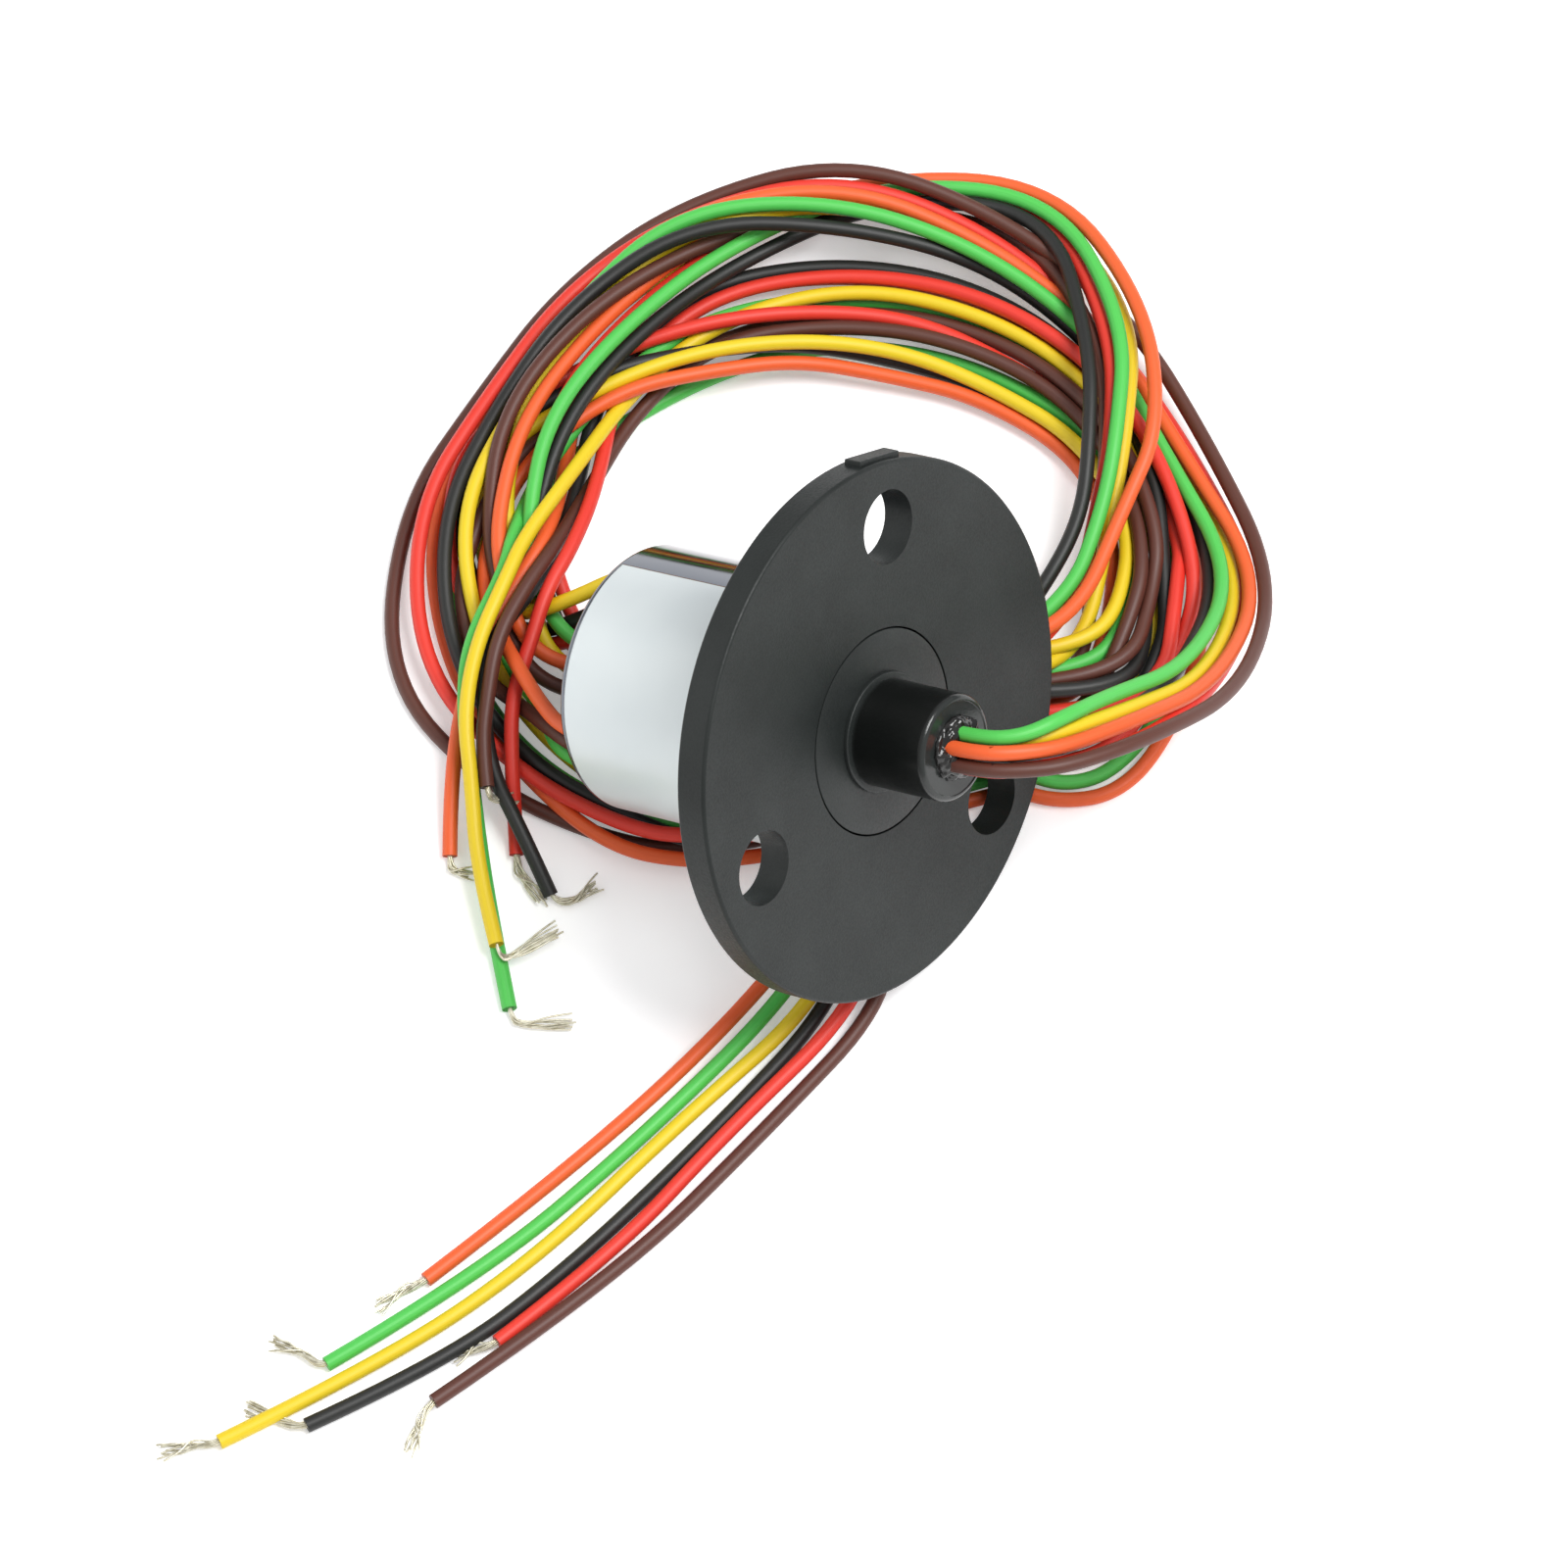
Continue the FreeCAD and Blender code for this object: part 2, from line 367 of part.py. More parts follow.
def around(count, radius, turn=0.0):
    """Places on a circle, the first one at this turn from the y axis towards x."""
    places = []
    for i in range(count):
        angle = math.radians(turn + 360.0 * i / count)
        places.append((radius * math.sin(angle), radius * math.cos(angle)))
    return places


def rounded(shape, radius, wanted):
    """The shape with the edges that pass the test rounded."""
    return shape.makeFillet(radius, [edge for edge in shape.Edges if wanted(edge)])


def circle_at(radius, z):
    """A test for the circular edge of this radius at this height."""

    def wanted(edge):
        box = edge.BoundBox
        flat = abs(box.ZMin - z) < 1e-4 and abs(box.ZMax - z) < 1e-4
        return flat and abs(box.XMax - radius) < 1e-4

    return wanted


def housing():
    """Flange and inner barrel, moulded in one piece."""
    flange_radius = FLANGE_DIAMETER / 2
    pocket = ROTOR_DISC_DIAMETER / 2 + ROTOR_DISC_GAP
    seat = FRONT_BEARING_OUTSIDE / 2 + RACE_SEAT_GAP
    lip = seat - BEARING_LIP
    body = turned(
        [
            (pocket, 0),
            (flange_radius, 0),
            (flange_radius, -FLANGE_THICKNESS),
            (HOUSING_OUTER, -FLANGE_THICKNESS),
            (HOUSING_OUTER, HOUSING_REAR),
            (HOUSING_INNER, HOUSING_REAR),
            (HOUSING_INNER, CAVITY_FRONT),
            (lip, CAVITY_FRONT),
            (lip, FRONT_RACE_REAR),
            (seat, FRONT_RACE_REAR),
            (seat, DISC_POCKET),
            (pocket, DISC_POCKET),
        ]
    )
    for z in (0, -FLANGE_THICKNESS):
        body = rounded(body, FLANGE_EDGE, circle_at(flange_radius, z))
    for x, y in around(HOLE_COUNT, HOLE_CIRCLE / 2, HOLE_TURN):
        body = body.cut(rod(HOLE_DIAMETER / 2, x, y, -2 * FLANGE_THICKNESS, FLANGE_THICKNESS))
    return body.fuse(gate_mark()).removeSplitter()


def gate_mark():
    """Low flat left on the rim where the moulding was cut from its runner."""
    x = -GATE_LENGTH / 2
    y = FLANGE_DIAMETER / 2 - GATE_WIDTH / 2
    z = -(FLANGE_THICKNESS + GATE_WIDTH) / 2
    mark = Part.makeBox(GATE_LENGTH, GATE_WIDTH / 2 + GATE_HEIGHT, GATE_WIDTH, Vector(x, y, z))
    mark.rotate(Vector(0, 0, 0), Vector(0, 0, 1), -GATE_TURN)
    return mark


def barrel_sleeve():
    outer = BARREL_DIAMETER / 2
    sleeve = ring(SLEEVE_INNER, outer, BARREL_REAR, -FLANGE_THICKNESS)
    return rounded(sleeve, SLEEVE_EDGE, circle_at(outer, BARREL_REAR))


def bearing_pitch(bore, outside):
    return (bore + outside) / 4


def race_wall(bore, outside):
    return RACE_WALL_SHARE * (outside - bore) / 2


def ball_track(bore, outside, ball, middle):
    """The ring-shaped space that the balls run in."""
    return Part.makeTorus(bearing_pitch(bore, outside), ball / 2 + BALL_GAP, Vector(0, 0, middle))


def bearing(bore, outside, width, ball, count, rear):
    """Inner ring, outer ring, balls and cage of a ball bearing."""
    wall = race_wall(bore, outside)
    pitch = bearing_pitch(bore, outside)
    middle = rear + width / 2
    track = ball_track(bore, outside, ball, middle)
    inner = ring(bore / 2, bore / 2 + wall, rear, rear + width).cut(track)
    outer = ring(outside / 2 - wall, outside / 2, rear, rear + width).cut(track)
    places = around(count, pitch)
    balls = [Part.makeSphere(ball / 2, Vector(x, y, middle)) for x, y in places]
    half = CAGE_WIDTH_SHARE * width / 2
    cage = ring(pitch - CAGE_WALL / 2, pitch + CAGE_WALL / 2, middle - half, middle + half)
    for x, y in places:
        start = 0.5 * pitch
        spot = Vector(start * x / pitch, start * y / pitch, middle)
        cage = cage.cut(Part.makeCylinder(ball / 2 + BALL_GAP, pitch, spot, Vector(x, y, 0)))
    return inner, outer, Part.makeCompound(balls), cage


def rotor_core():
    """Disc, collar, shaft and hollow stem, moulded in one piece."""
    shaft = SHAFT_DIAMETER / 2
    collar = COLLAR_DIAMETER / 2
    disc = ROTOR_DISC_DIAMETER / 2
    shoulder = JOURNAL_RADIUS + race_wall(FRONT_BEARING_BORE, FRONT_BEARING_OUTSIDE) / 2
    core = turned(
        [
            (0, SHAFT_REACH),
            (shaft, SHAFT_REACH),
            (shaft, COLLAR_HEIGHT),
            (collar, COLLAR_HEIGHT),
            (collar, 0),
            (disc, 0),
            (disc, -ROTOR_DISC_THICKNESS),
            (shoulder, -ROTOR_DISC_THICKNESS),
            (shoulder, FRONT_RACE_FRONT),
            (JOURNAL_RADIUS, FRONT_RACE_FRONT),
            (JOURNAL_RADIUS, STACK_FRONT),
            (STEM_RADIUS, STACK_FRONT),
            (STEM_RADIUS, STEM_REAR),
            (0, STEM_REAR),
        ]
    )
    core = rounded(core, SHAFT_EDGE, circle_at(shaft, SHAFT_REACH))
    core = core.cut(rod(SHAFT_BORE / 2, 0, 0, STACK_REAR, SHAFT_REACH + 1))
    for i in range(CIRCUITS):
        core = core.cut(radial_rod(i, INNER_WIRE_DIAMETER / 2 + WIRE_HOLE_GAP, STEM_RADIUS + 1))
    return core


def ring_front(i):
    return STACK_FRONT - i * RING_PITCH


def radial_rod(i, radius, reach):
    """A rod from the inner wire of a circuit out to its contact ring."""
    x, y = around(CIRCUITS, 1)[i]
    start = INNER_WIRE_CIRCLE / 2
    middle = ring_front(i) - RING_WIDTH / 2
    return Part.makeCylinder(radius, reach - start, Vector(start * x, start * y, middle), Vector(x, y, 0))


def slip_ring(i):
    """Contact ring with a V groove for the brush wires."""
    outer = RING_DIAMETER / 2
    front = ring_front(i)
    middle = front - RING_WIDTH / 2
    rear = front - RING_WIDTH
    bore = STEM_RADIUS + STACK_GAP
    return turned(
        [
            (bore, rear),
            (outer, rear),
            (outer, middle - RING_GROOVE),
            (outer - RING_GROOVE, middle),
            (outer, middle + RING_GROOVE),
            (outer, front),
            (bore, front),
        ]
    )


def ring_barrier(i):
    front = ring_front(i) - RING_WIDTH
    return ring(STEM_RADIUS + STACK_GAP, BARRIER_DIAMETER / 2, front - BARRIER_WIDTH, front)


def brush_board(side):
    x = side * BOARD_OFFSET if side > 0 else -BOARD_OFFSET - BOARD_THICKNESS
    rear = CAP_FRONT + BOARD_END_GAP
    front = CAVITY_FRONT - BOARD_END_GAP
    corner = Vector(x, -BOARD_HALF_WIDTH, rear)
    return Part.makeBox(BOARD_THICKNESS, 2 * BOARD_HALF_WIDTH, front - rear, corner)


def brush_pair(i):
    """Two wires, one from each board, that run in the groove of one contact ring."""
    middle = ring_front(i) - RING_WIDTH / 2
    wire = BRUSH_DIAMETER / 2
    touch = RING_DIAMETER / 2 - RING_GROOVE + wire * math.sqrt(2) + BRUSH_RUNNING_GAP
    wires = []
    for side in (1, -1):
        foot = Vector(side * BOARD_OFFSET, -BRUSH_FOOT, middle)
        corner = Vector(side * touch, -BRUSH_FOOT, middle)
        end = Vector(side * touch, BRUSH_TAIL, middle)
        wires.append(swept([foot, corner, end], BRUSH_DIAMETER, [BRUSH_BEND]))
    return Part.makeCompound(wires)


def rear_cap():
    """Closes the barrel, holds the rear bearing and lets the inner wires out."""
    outer = HOUSING_INNER - CAP_GAP
    seat = REAR_BEARING_OUTSIDE / 2 + RACE_SEAT_GAP
    lip = seat - race_wall(REAR_BEARING_BORE, REAR_BEARING_OUTSIDE) / 2
    cap = turned(
        [
            (0, HOUSING_REAR),
            (outer, HOUSING_REAR),
            (outer, CAP_FRONT),
            (seat, CAP_FRONT),
            (seat, REAR_RACE_REAR),
            (lip, REAR_RACE_REAR),
            (lip, CAP_FLOOR_FRONT),
            (0, CAP_FLOOR_FRONT),
        ]
    )
    for x, y in tail_places():
        hole = TAIL_WIRE_DIAMETER / 2 + WIRE_HOLE_GAP
        cap = cap.cut(rod(hole, x, y, HOUSING_REAR - 1, CAP_FRONT + 1))
    return cap


def tail_places():
    """Where the six stator wires pass through the cap: three behind each board."""
    middle = BOARD_OFFSET + BOARD_THICKNESS / 2
    return [(side * middle, row * TAIL_WIRE_PITCH) for side in (1, -1) for row in (1, 0, -1)]


def rear_potting():
    """Thin disc of resin that seals the cap around the leads."""
    disc = rod(SLEEVE_INNER - POTTING_GAP, 0, 0, BARREL_REAR + POTTING_SINK, HOUSING_REAR)
    for x, y in tail_places():
        disc = disc.cut(rod(LEAD_DIAMETER / 2 + LEAD_GAP, x, y, BARREL_REAR - 1, HOUSING_REAR + 1))
    return disc


def stator_inner_wires():
    rear, front = HOUSING_REAR, CAP_FRONT + BOARD_END_GAP
    return Part.makeCompound([rod(TAIL_WIRE_DIAMETER / 2, x, y, rear, front) for x, y in tail_places()])


def rotor_inner_wires():
    """Six wires in the hollow stem, each with a leg out to its contact ring."""
    wires = []
    for i, (x, y) in enumerate(around(CIRCUITS, INNER_WIRE_CIRCLE / 2)):
        middle = ring_front(i) - RING_WIDTH / 2
        wire = rod(INNER_WIRE_DIAMETER / 2, x, y, middle, SHAFT_REACH - GLUE_DEPTH)
        knee = Part.makeSphere(INNER_WIRE_DIAMETER / 2, Vector(x, y, middle))
        wires.append(wire.fuse([knee, radial_rod(i, INNER_WIRE_DIAMETER / 2, STEM_RADIUS)]))
    return Part.makeCompound(wires)


def lead_places():
    """Where the six rotor leads leave the end of the shaft."""
    return around(CIRCUITS, LEAD_CIRCLE / 2, LEAD_TURN)


def front_glue():
    """Plug of glue in the mouth of the shaft, with a low dome around the leads."""
    plug = rod(SHAFT_BORE / 2 - POTTING_GAP, 0, 0, SHAFT_REACH - GLUE_DEPTH, SHAFT_REACH)
    half = GLUE_DOME_DIAMETER / 2
    radius = (half * half + GLUE_DOME_HEIGHT * GLUE_DOME_HEIGHT) / (2 * GLUE_DOME_HEIGHT)
    dome = Part.makeSphere(radius, Vector(0, 0, SHAFT_REACH + GLUE_DOME_HEIGHT - radius))
    dome = dome.common(rod(GLUE_DOME_DIAMETER, 0, 0, SHAFT_REACH, SHAFT_REACH + 2 * GLUE_DOME_HEIGHT))
    for x, y in lead_places():
        dome = dome.cut(rod(LEAD_DIAMETER / 2 + LEAD_GAP, x, y, SHAFT_REACH - 1, SHAFT_REACH + LEAD_START))
    return plug.fuse(dome).removeSplitter()


def swept(points, diameter, radii):
    """A round bar along straight runs joined by tangent arcs, one radius for each inner point."""
    edges = []
    start = points[0]
    for before, corner, after, radius in zip(points, points[1:], points[2:], radii):
        back = (before - corner).normalize()
        ahead = (after - corner).normalize()
        half_turn = (math.pi - back.getAngle(ahead)) / 2
        reach = radius * math.tan(half_turn)
        arc_start = corner + back * reach
        arc_end = corner + ahead * reach
        inward = (back + ahead).normalize()
        arc_middle = corner + inward * (radius / math.cos(half_turn) - radius)
        edges.append(Part.LineSegment(start, arc_start).toShape())
        edges.append(Part.Arc(arc_start, arc_middle, arc_end).toShape())
        start = arc_end
    edges.append(Part.LineSegment(start, points[-1]).toShape())
    path = Part.Wire(edges)
    outline = Part.Wire([Part.makeCircle(diameter / 2, points[0], points[1] - points[0])])
    bar = path.makePipeShell([outline], True, False)
    section = math.pi * diameter * diameter / 4
    if abs(bar.Volume / (section * path.Length) - 1) > 0.001:
        raise ValueError("a swept bar doesn't have the volume of its section times its length")
    return bar


def bend_radii(points):
    """For each inner point: 0.45 of the shorter run beside it, over the tangent of half the turn."""
    radii = []
    for before, corner, after in zip(points, points[1:], points[2:]):
        half_turn = (corner - before).getAngle(after - corner) / 2
        shorter = min((corner - before).Length, (after - corner).Length)
        radii.append(0.45 * shorter / math.tan(half_turn))
    return radii


def lead(name, start, ahead, route):
    """One lead from its exit to its stripped end, laid along its route."""
    points = [start, ahead] + [Vector(*point) for point in route]
    radii = bend_radii(points)
    length = sum((b - a).Length for a, b in zip(points, points[1:]))
    print(f"{name}: runs add up to {length:.0f}, bend radii " + " ".join(f"{radius:.1f}" for radius in radii))
    return swept(points, LEAD_DIAMETER, radii)


def strands(route, ends):
    """The bare strands that stick out of a lead's end, as one thin bar."""
    points = [Vector(*point) for point in [route[-1]] + ends]
    return swept(points, STRANDS_DIAMETER, bend_radii(points))


SUB_PARTS = {
    "housing": housing(),
    "barrel_sleeve": barrel_sleeve(),
    "rear_cap": rear_cap(),
    "rear_potting": rear_potting(),
    "rotor_core": rotor_core(),
    "front_glue": front_glue(),
    "brush_board_left": brush_board(-1),
    "brush_board_right": brush_board(1),
    "rotor_inner_wires": rotor_inner_wires(),
    "stator_inner_wires": stator_inner_wires(),
}
BEARINGS = {
    "front_bearing": bearing(
        FRONT_BEARING_BORE,
        FRONT_BEARING_OUTSIDE,
        FRONT_BEARING_WIDTH,
        FRONT_BALL_DIAMETER,
        FRONT_BALL_COUNT,
        FRONT_RACE_REAR,
    ),
    "rear_bearing": bearing(
        REAR_BEARING_BORE,
        REAR_BEARING_OUTSIDE,
        REAR_BEARING_WIDTH,
        REAR_BALL_DIAMETER,
        REAR_BALL_COUNT,
        REAR_RACE_REAR,
    ),
}
for name, pieces in BEARINGS.items():
    for piece, shape in zip(("inner_ring", "outer_ring", "balls", "cage"), pieces):
        SUB_PARTS[f"{name}_{piece}"] = shape
for i in range(CIRCUITS):
    SUB_PARTS[f"slip_ring_{i + 1}"] = slip_ring(i)
    SUB_PARTS[f"ring_barrier_{i + 1}"] = ring_barrier(i)
    SUB_PARTS[f"brush_pair_{i + 1}"] = brush_pair(i)

CORDS = {}
for (colour, route), (x, y) in zip(ROTOR_LEADS.items(), lead_places()):
    name = f"rotor_lead_{colour}"
    CORDS[name] = lead(name, at_rest(x, y, SHAFT_REACH), at_rest(x, y, SHAFT_REACH + LEAD_START), route)
    CORDS[f"rotor_strands_{colour}"] = strands(route, ROTOR_STRANDS[colour])
for (colour, route), (x, y) in zip(STATOR_LEADS.items(), tail_places()):
    name = f"stator_lead_{colour}"
    CORDS[name] = lead(name, at_rest(x, y, HOUSING_REAR), at_rest(x, y, HOUSING_REAR - TAIL_START), route)
    CORDS[f"stator_strands_{colour}"] = strands(route, STATOR_STRANDS[colour])

os.makedirs("parts", exist_ok=True)
for name, shape in SUB_PARTS.items():
    laid_down(shape).exportStep(f"parts/{name}.step")
for name, shape in CORDS.items():
    shape.exportStep(f"parts/{name}.step")
print(f"{len(SUB_PARTS) + len(CORDS)} pieces, axis sloping {math.degrees(REST_TILT):.2f} degrees, front centre {FRONT_CENTRE}")
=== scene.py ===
# %% [markdown]
# # A capsule slip ring and its twelve leads
# A slip ring carries electric circuits through a turning joint. This one is a small closed capsule: a black
# moulded flange, a bright metal barrel behind it, a rotor with a shaft in front, and six thin coloured
# leads at each end. The solid model is already made, at its real size. This file gives it its looks: finer
# edges, real finishes, leads that lie in one smooth line, and the bare strands at their ends.

# %% Load the frame
import json
import math
import random

import bmesh
import bpy
from mathutils import Matrix, Vector


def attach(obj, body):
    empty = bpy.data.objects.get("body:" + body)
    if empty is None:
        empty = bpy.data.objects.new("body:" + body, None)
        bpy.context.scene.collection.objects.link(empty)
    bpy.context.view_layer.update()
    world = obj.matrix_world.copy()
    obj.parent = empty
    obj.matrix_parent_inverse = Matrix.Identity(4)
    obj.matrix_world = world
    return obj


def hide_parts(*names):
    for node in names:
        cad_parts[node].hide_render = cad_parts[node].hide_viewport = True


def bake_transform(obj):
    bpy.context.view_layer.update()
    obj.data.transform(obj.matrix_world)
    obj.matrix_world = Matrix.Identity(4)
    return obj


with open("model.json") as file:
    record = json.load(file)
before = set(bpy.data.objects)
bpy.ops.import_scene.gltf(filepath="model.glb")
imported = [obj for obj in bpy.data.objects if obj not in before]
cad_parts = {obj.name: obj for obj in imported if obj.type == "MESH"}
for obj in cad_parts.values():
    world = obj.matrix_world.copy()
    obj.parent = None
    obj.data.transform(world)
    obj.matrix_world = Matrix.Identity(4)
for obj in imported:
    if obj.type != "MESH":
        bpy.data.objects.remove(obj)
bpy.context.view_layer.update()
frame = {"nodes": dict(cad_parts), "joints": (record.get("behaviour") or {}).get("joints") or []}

# %% [markdown]
# ## Where things are
# The capsule lies tilted, on the rim of its flange and the rear edge of its barrel. The turning joint gives
# the middle of the flange's front face and the direction of the axis, so both are read from the frame.
# Turned pieces are easiest to make upright about their own axis, in millimetres as on a drawing, and are
# then laid down in one step.

# %% The slip ring's own axis
MM = 0.001
spin = next(joint for joint in frame["joints"] if joint["name"] == "rotor_spin")
FRONT = Vector(spin["pos_m"])
AXIS = Vector(spin["axis"]).normalized()
ACROSS = Vector((0, 1, 0))
UP_THE_FLANGE = AXIS.cross(ACROSS)
REST = Matrix.Translation(FRONT) @ Matrix((ACROSS, UP_THE_FLANGE, AXIS)).transposed().to_4x4()
TILT = math.asin(AXIS.z)


def at_rest(x, y, z):
    """A place given in millimetres about the slip ring's own axis, in metres as it lies."""
    return REST @ (Vector((x, y, z)) * MM)


print("front centre", tuple(round(v, 4) for v in FRONT), "tilt", round(math.degrees(TILT), 2))

# %% [markdown]
# ## The camera
# The photograph looks down steeply at the front of the flange, with a long lens, so that near and far look
# almost the same size. The camera stands 0.7 m from the flange, and is moved a few millimetres to the left
# and down, to frame the loops too.

# %% Camera
AZIMUTH = math.radians(29.45)
ELEVATION = math.radians(63.7)
DISTANCE = 0.7
LEFT_OF_FLANGE = 0.00787
BELOW_FLANGE = 0.0042
LENS = 201.13
NEAREST = 0.01
back = Vector((
    math.sin(AZIMUTH) * math.cos(ELEVATION),
    -math.cos(AZIMUTH) * math.cos(ELEVATION),
    math.sin(ELEVATION),
))
right = Vector((math.cos(AZIMUTH), math.sin(AZIMUTH), 0))
up = back.cross(right)
bpy.ops.object.camera_add(location=FRONT + DISTANCE * back - LEFT_OF_FLANGE * right - BELOW_FLANGE * up)
camera = bpy.context.object
camera.name = "photo_camera"
camera.rotation_euler = Matrix((right, up, back)).transposed().to_euler()
camera.data.lens = LENS
camera.data.clip_start = NEAREST
bpy.context.scene.camera = camera
bpy.context.scene.view_settings.view_transform = "Standard"
print("camera at", tuple(round(v, 3) for v in camera.location))

# %% [markdown]
# ## Working by hand: finishes
# Every finish is a principled shader whose colour, roughness and surface drift a little, as they do on real
# things. A few short functions add the nodes for that. A value that they take is fixed or comes from
# another node.

# %% Helpers for finishes
TURN_EDGE = math.radians(0.3)


def srgb(red, green, blue):
    """A colour given as in an image editor, 0 to 255, for a shader's socket."""
    values = [value / 255 for value in (red, green, blue)]
    return [v / 12.92 if v <= 0.04045 else ((v + 0.055) / 1.055) ** 2.4 for v in values] + [1]


def new_material(name, colour, roughness, metallic=0.0):
    """A material with a principled shader, with its even values set on the shader's own sockets."""
    material = bpy.data.materials.new(name)
    material.use_nodes = True
    shader = material.node_tree.nodes["Principled BSDF"]
    shader.inputs["Base Color"].default_value = colour
    shader.inputs["Roughness"].default_value = roughness
    shader.inputs["Metallic"].default_value = metallic
    return material, material.node_tree.nodes, material.node_tree.links, shader


def feed(links, value, socket):
    """Links a socket to a value from another node, or sets it to a fixed value."""
    if isinstance(value, bpy.types.NodeSocket):
        links.new(value, socket)
    else:
        socket.default_value = value


def calculated(nodes, links, operation, first, second):
    """A number worked out from two others."""
    node = nodes.new("ShaderNodeMath")
    node.operation = operation
    feed(links, first, node.inputs[0])
    feed(links, second, node.inputs[1])
    return node.outputs["Value"]


def ranged(nodes, links, source, low, high, low_in=0.3, high_in=0.7):
    """A number brought from its own range, which is that of noise if none is given, to another one."""
    to_range = nodes.new("ShaderNodeMapRange")
    to_range.inputs["From Min"].default_value = low_in
    to_range.inputs["From Max"].default_value = high_in
    to_range.inputs["To Min"].default_value = low
    to_range.inputs["To Max"].default_value = high
    links.new(source, to_range.inputs["Value"])
    return to_range.outputs["Result"]


def blended(nodes, links, factor, first, second, colour=True):
    """Two colours or two numbers mixed by a factor."""
    blend = nodes.new("ShaderNodeMix")
    blend.data_type = "RGBA" if colour else "FLOAT"
    low, high, result = (6, 7, 2) if colour else (2, 3, 0)
    links.new(factor, blend.inputs["Factor"])
    feed(links, first, blend.inputs[low])
    feed(links, second, blend.inputs[high])
    return blend.outputs[result]


def noise(nodes, links, scale, detail=2.0, stretch=(1, 1, 1), coordinates="Object"):
    """Noise on the object's own coordinates, in features a metre, or on its map."""
    place = nodes.new("ShaderNodeTexCoord")
    mapping = nodes.new("ShaderNodeMapping")
    texture = nodes.new("ShaderNodeTexNoise")
    texture.inputs["Scale"].default_value = scale
    texture.inputs["Detail"].default_value = detail
    mapping.inputs["Scale"].default_value = stretch
    links.new(place.outputs[coordinates], mapping.inputs["Vector"])
    links.new(mapping.outputs["Vector"], texture.inputs["Vector"])
    return texture.outputs["Fac"]


def tinted(nodes, links, shader, pattern, dark, pale):
    """Lets the colour drift between two shades."""
    factor = ranged(nodes, links, pattern, 0, 1)
    links.new(blended(nodes, links, factor, dark, pale), shader.inputs["Base Color"])


def dulled(nodes, links, shader, pattern, roughness):
    """Lets the roughness drift between two values."""
    links.new(ranged(nodes, links, pattern, *roughness), shader.inputs["Roughness"])


def bump(nodes, links, shader, height, strength, depth, before=None):
    """Raises the skin by a height pattern, on top of an earlier bump if there is one."""
    node = nodes.new("ShaderNodeBump")
    node.inputs["Strength"].default_value = strength
    node.inputs["Distance"].default_value = depth
    links.new(height, node.inputs["Height"])
    if before:
        links.new(before, node.inputs["Normal"])
    links.new(node.outputs["Normal"], shader.inputs["Normal"])
    return node.outputs["Normal"]


def measured(nodes, links, direction):
    """How far a point of the piece lies out in a direction, in metres."""
    place = nodes.new("ShaderNodeTexCoord")
    along = nodes.new("ShaderNodeVectorMath")
    along.operation = "DOT_PRODUCT"
    along.inputs[1].default_value = direction
    links.new(place.outputs["Object"], along.inputs[0])
    return along.outputs["Value"]


def along_axis(nodes, links, low, high):
    """0 at one height on the slip ring's axis, in millimetres, 1 at another, and a ramp between them."""
    front = FRONT.dot(AXIS)
    return ranged(nodes, links, measured(nodes, links, AXIS), 0, 1, front + low * MM, front + high * MM)


def around_axis(nodes, links, low, high):
    """1 between two turns about the axis, in degrees from straight up, and 0 elsewhere."""
    across, upwards = (
        calculated(nodes, links, "SUBTRACT", measured(nodes, links, direction), FRONT.dot(direction))
        for direction in (ACROSS, UP_THE_FLANGE)
    )
    turn = calculated(nodes, links, "ARCTAN2", across, upwards)
    edges = []
    for degrees, before, after in ((low, 0, 1), (high, 1, 0)):
        middle = math.radians(degrees)
        edges.append(ranged(nodes, links, turn, before, after, middle - TURN_EDGE, middle + TURN_EDGE))
    return calculated(nodes, links, "MULTIPLY", *edges)


# %% [markdown]
# ## Floor and light
# The photograph has a white ground and soft light. A pale floor takes the shadow, one broad lamp above the
# camera gives the sheen on the flange, and a weaker one from the left lights the barrel. Polished metal
# shows what is around it, so the surroundings are pale, with one dark strip low behind the capsule. The
# floor is brighter only to the camera's own rays and to mirrored ones, so the ground is white, in
# reflections too, and the capsule gets no more light from it.

# %% Floor, surroundings and lamps
FLOOR_SIZE = 3.0
FLOOR_COLOUR = (0.93, 0.93, 0.935, 1)
FLOOR_GLOW = 0.32
SKY_LEVEL = 0.62
PALE_SKY = (1, 1, 1, 1)
LOWEST_SKY = (0.1, 0.1, 0.105, 1)
SKY_GREYS = ((0.08, 0.12), (0.2, 0.95))
SKY_BLUE = 1.03
BEHIND_FROM = 0.3
BEHIND_TO = 0.5
FLOOR_ROUGHNESS = 0.7
FLOOR_SHINE = 0.2


def deselect():
    bpy.ops.object.select_all(action="DESELECT")


def only(piece):
    """Selects this piece alone and makes it the active one."""
    deselect()
    bpy.context.view_layer.objects.active = piece
    piece.select_set(True)


deselect()
bpy.ops.mesh.primitive_plane_add(size=FLOOR_SIZE, location=(0, 0, 0))
floor = bpy.context.object
floor.name = "floor"
material, nodes, links, shader = new_material("pale_floor", FLOOR_COLOUR, FLOOR_ROUGHNESS)
shader.inputs["Specular IOR Level"].default_value = FLOOR_SHINE
rays = nodes.new("ShaderNodeLightPath")
seen = calculated(nodes, links, "MAXIMUM", rays.outputs["Is Camera Ray"], rays.outputs["Is Glossy Ray"])
links.new(calculated(nodes, links, "MULTIPLY", seen, FLOOR_GLOW), shader.inputs["Emission Strength"])
shader.inputs["Emission Color"].default_value = FLOOR_COLOUR
floor.data.materials.append(material)

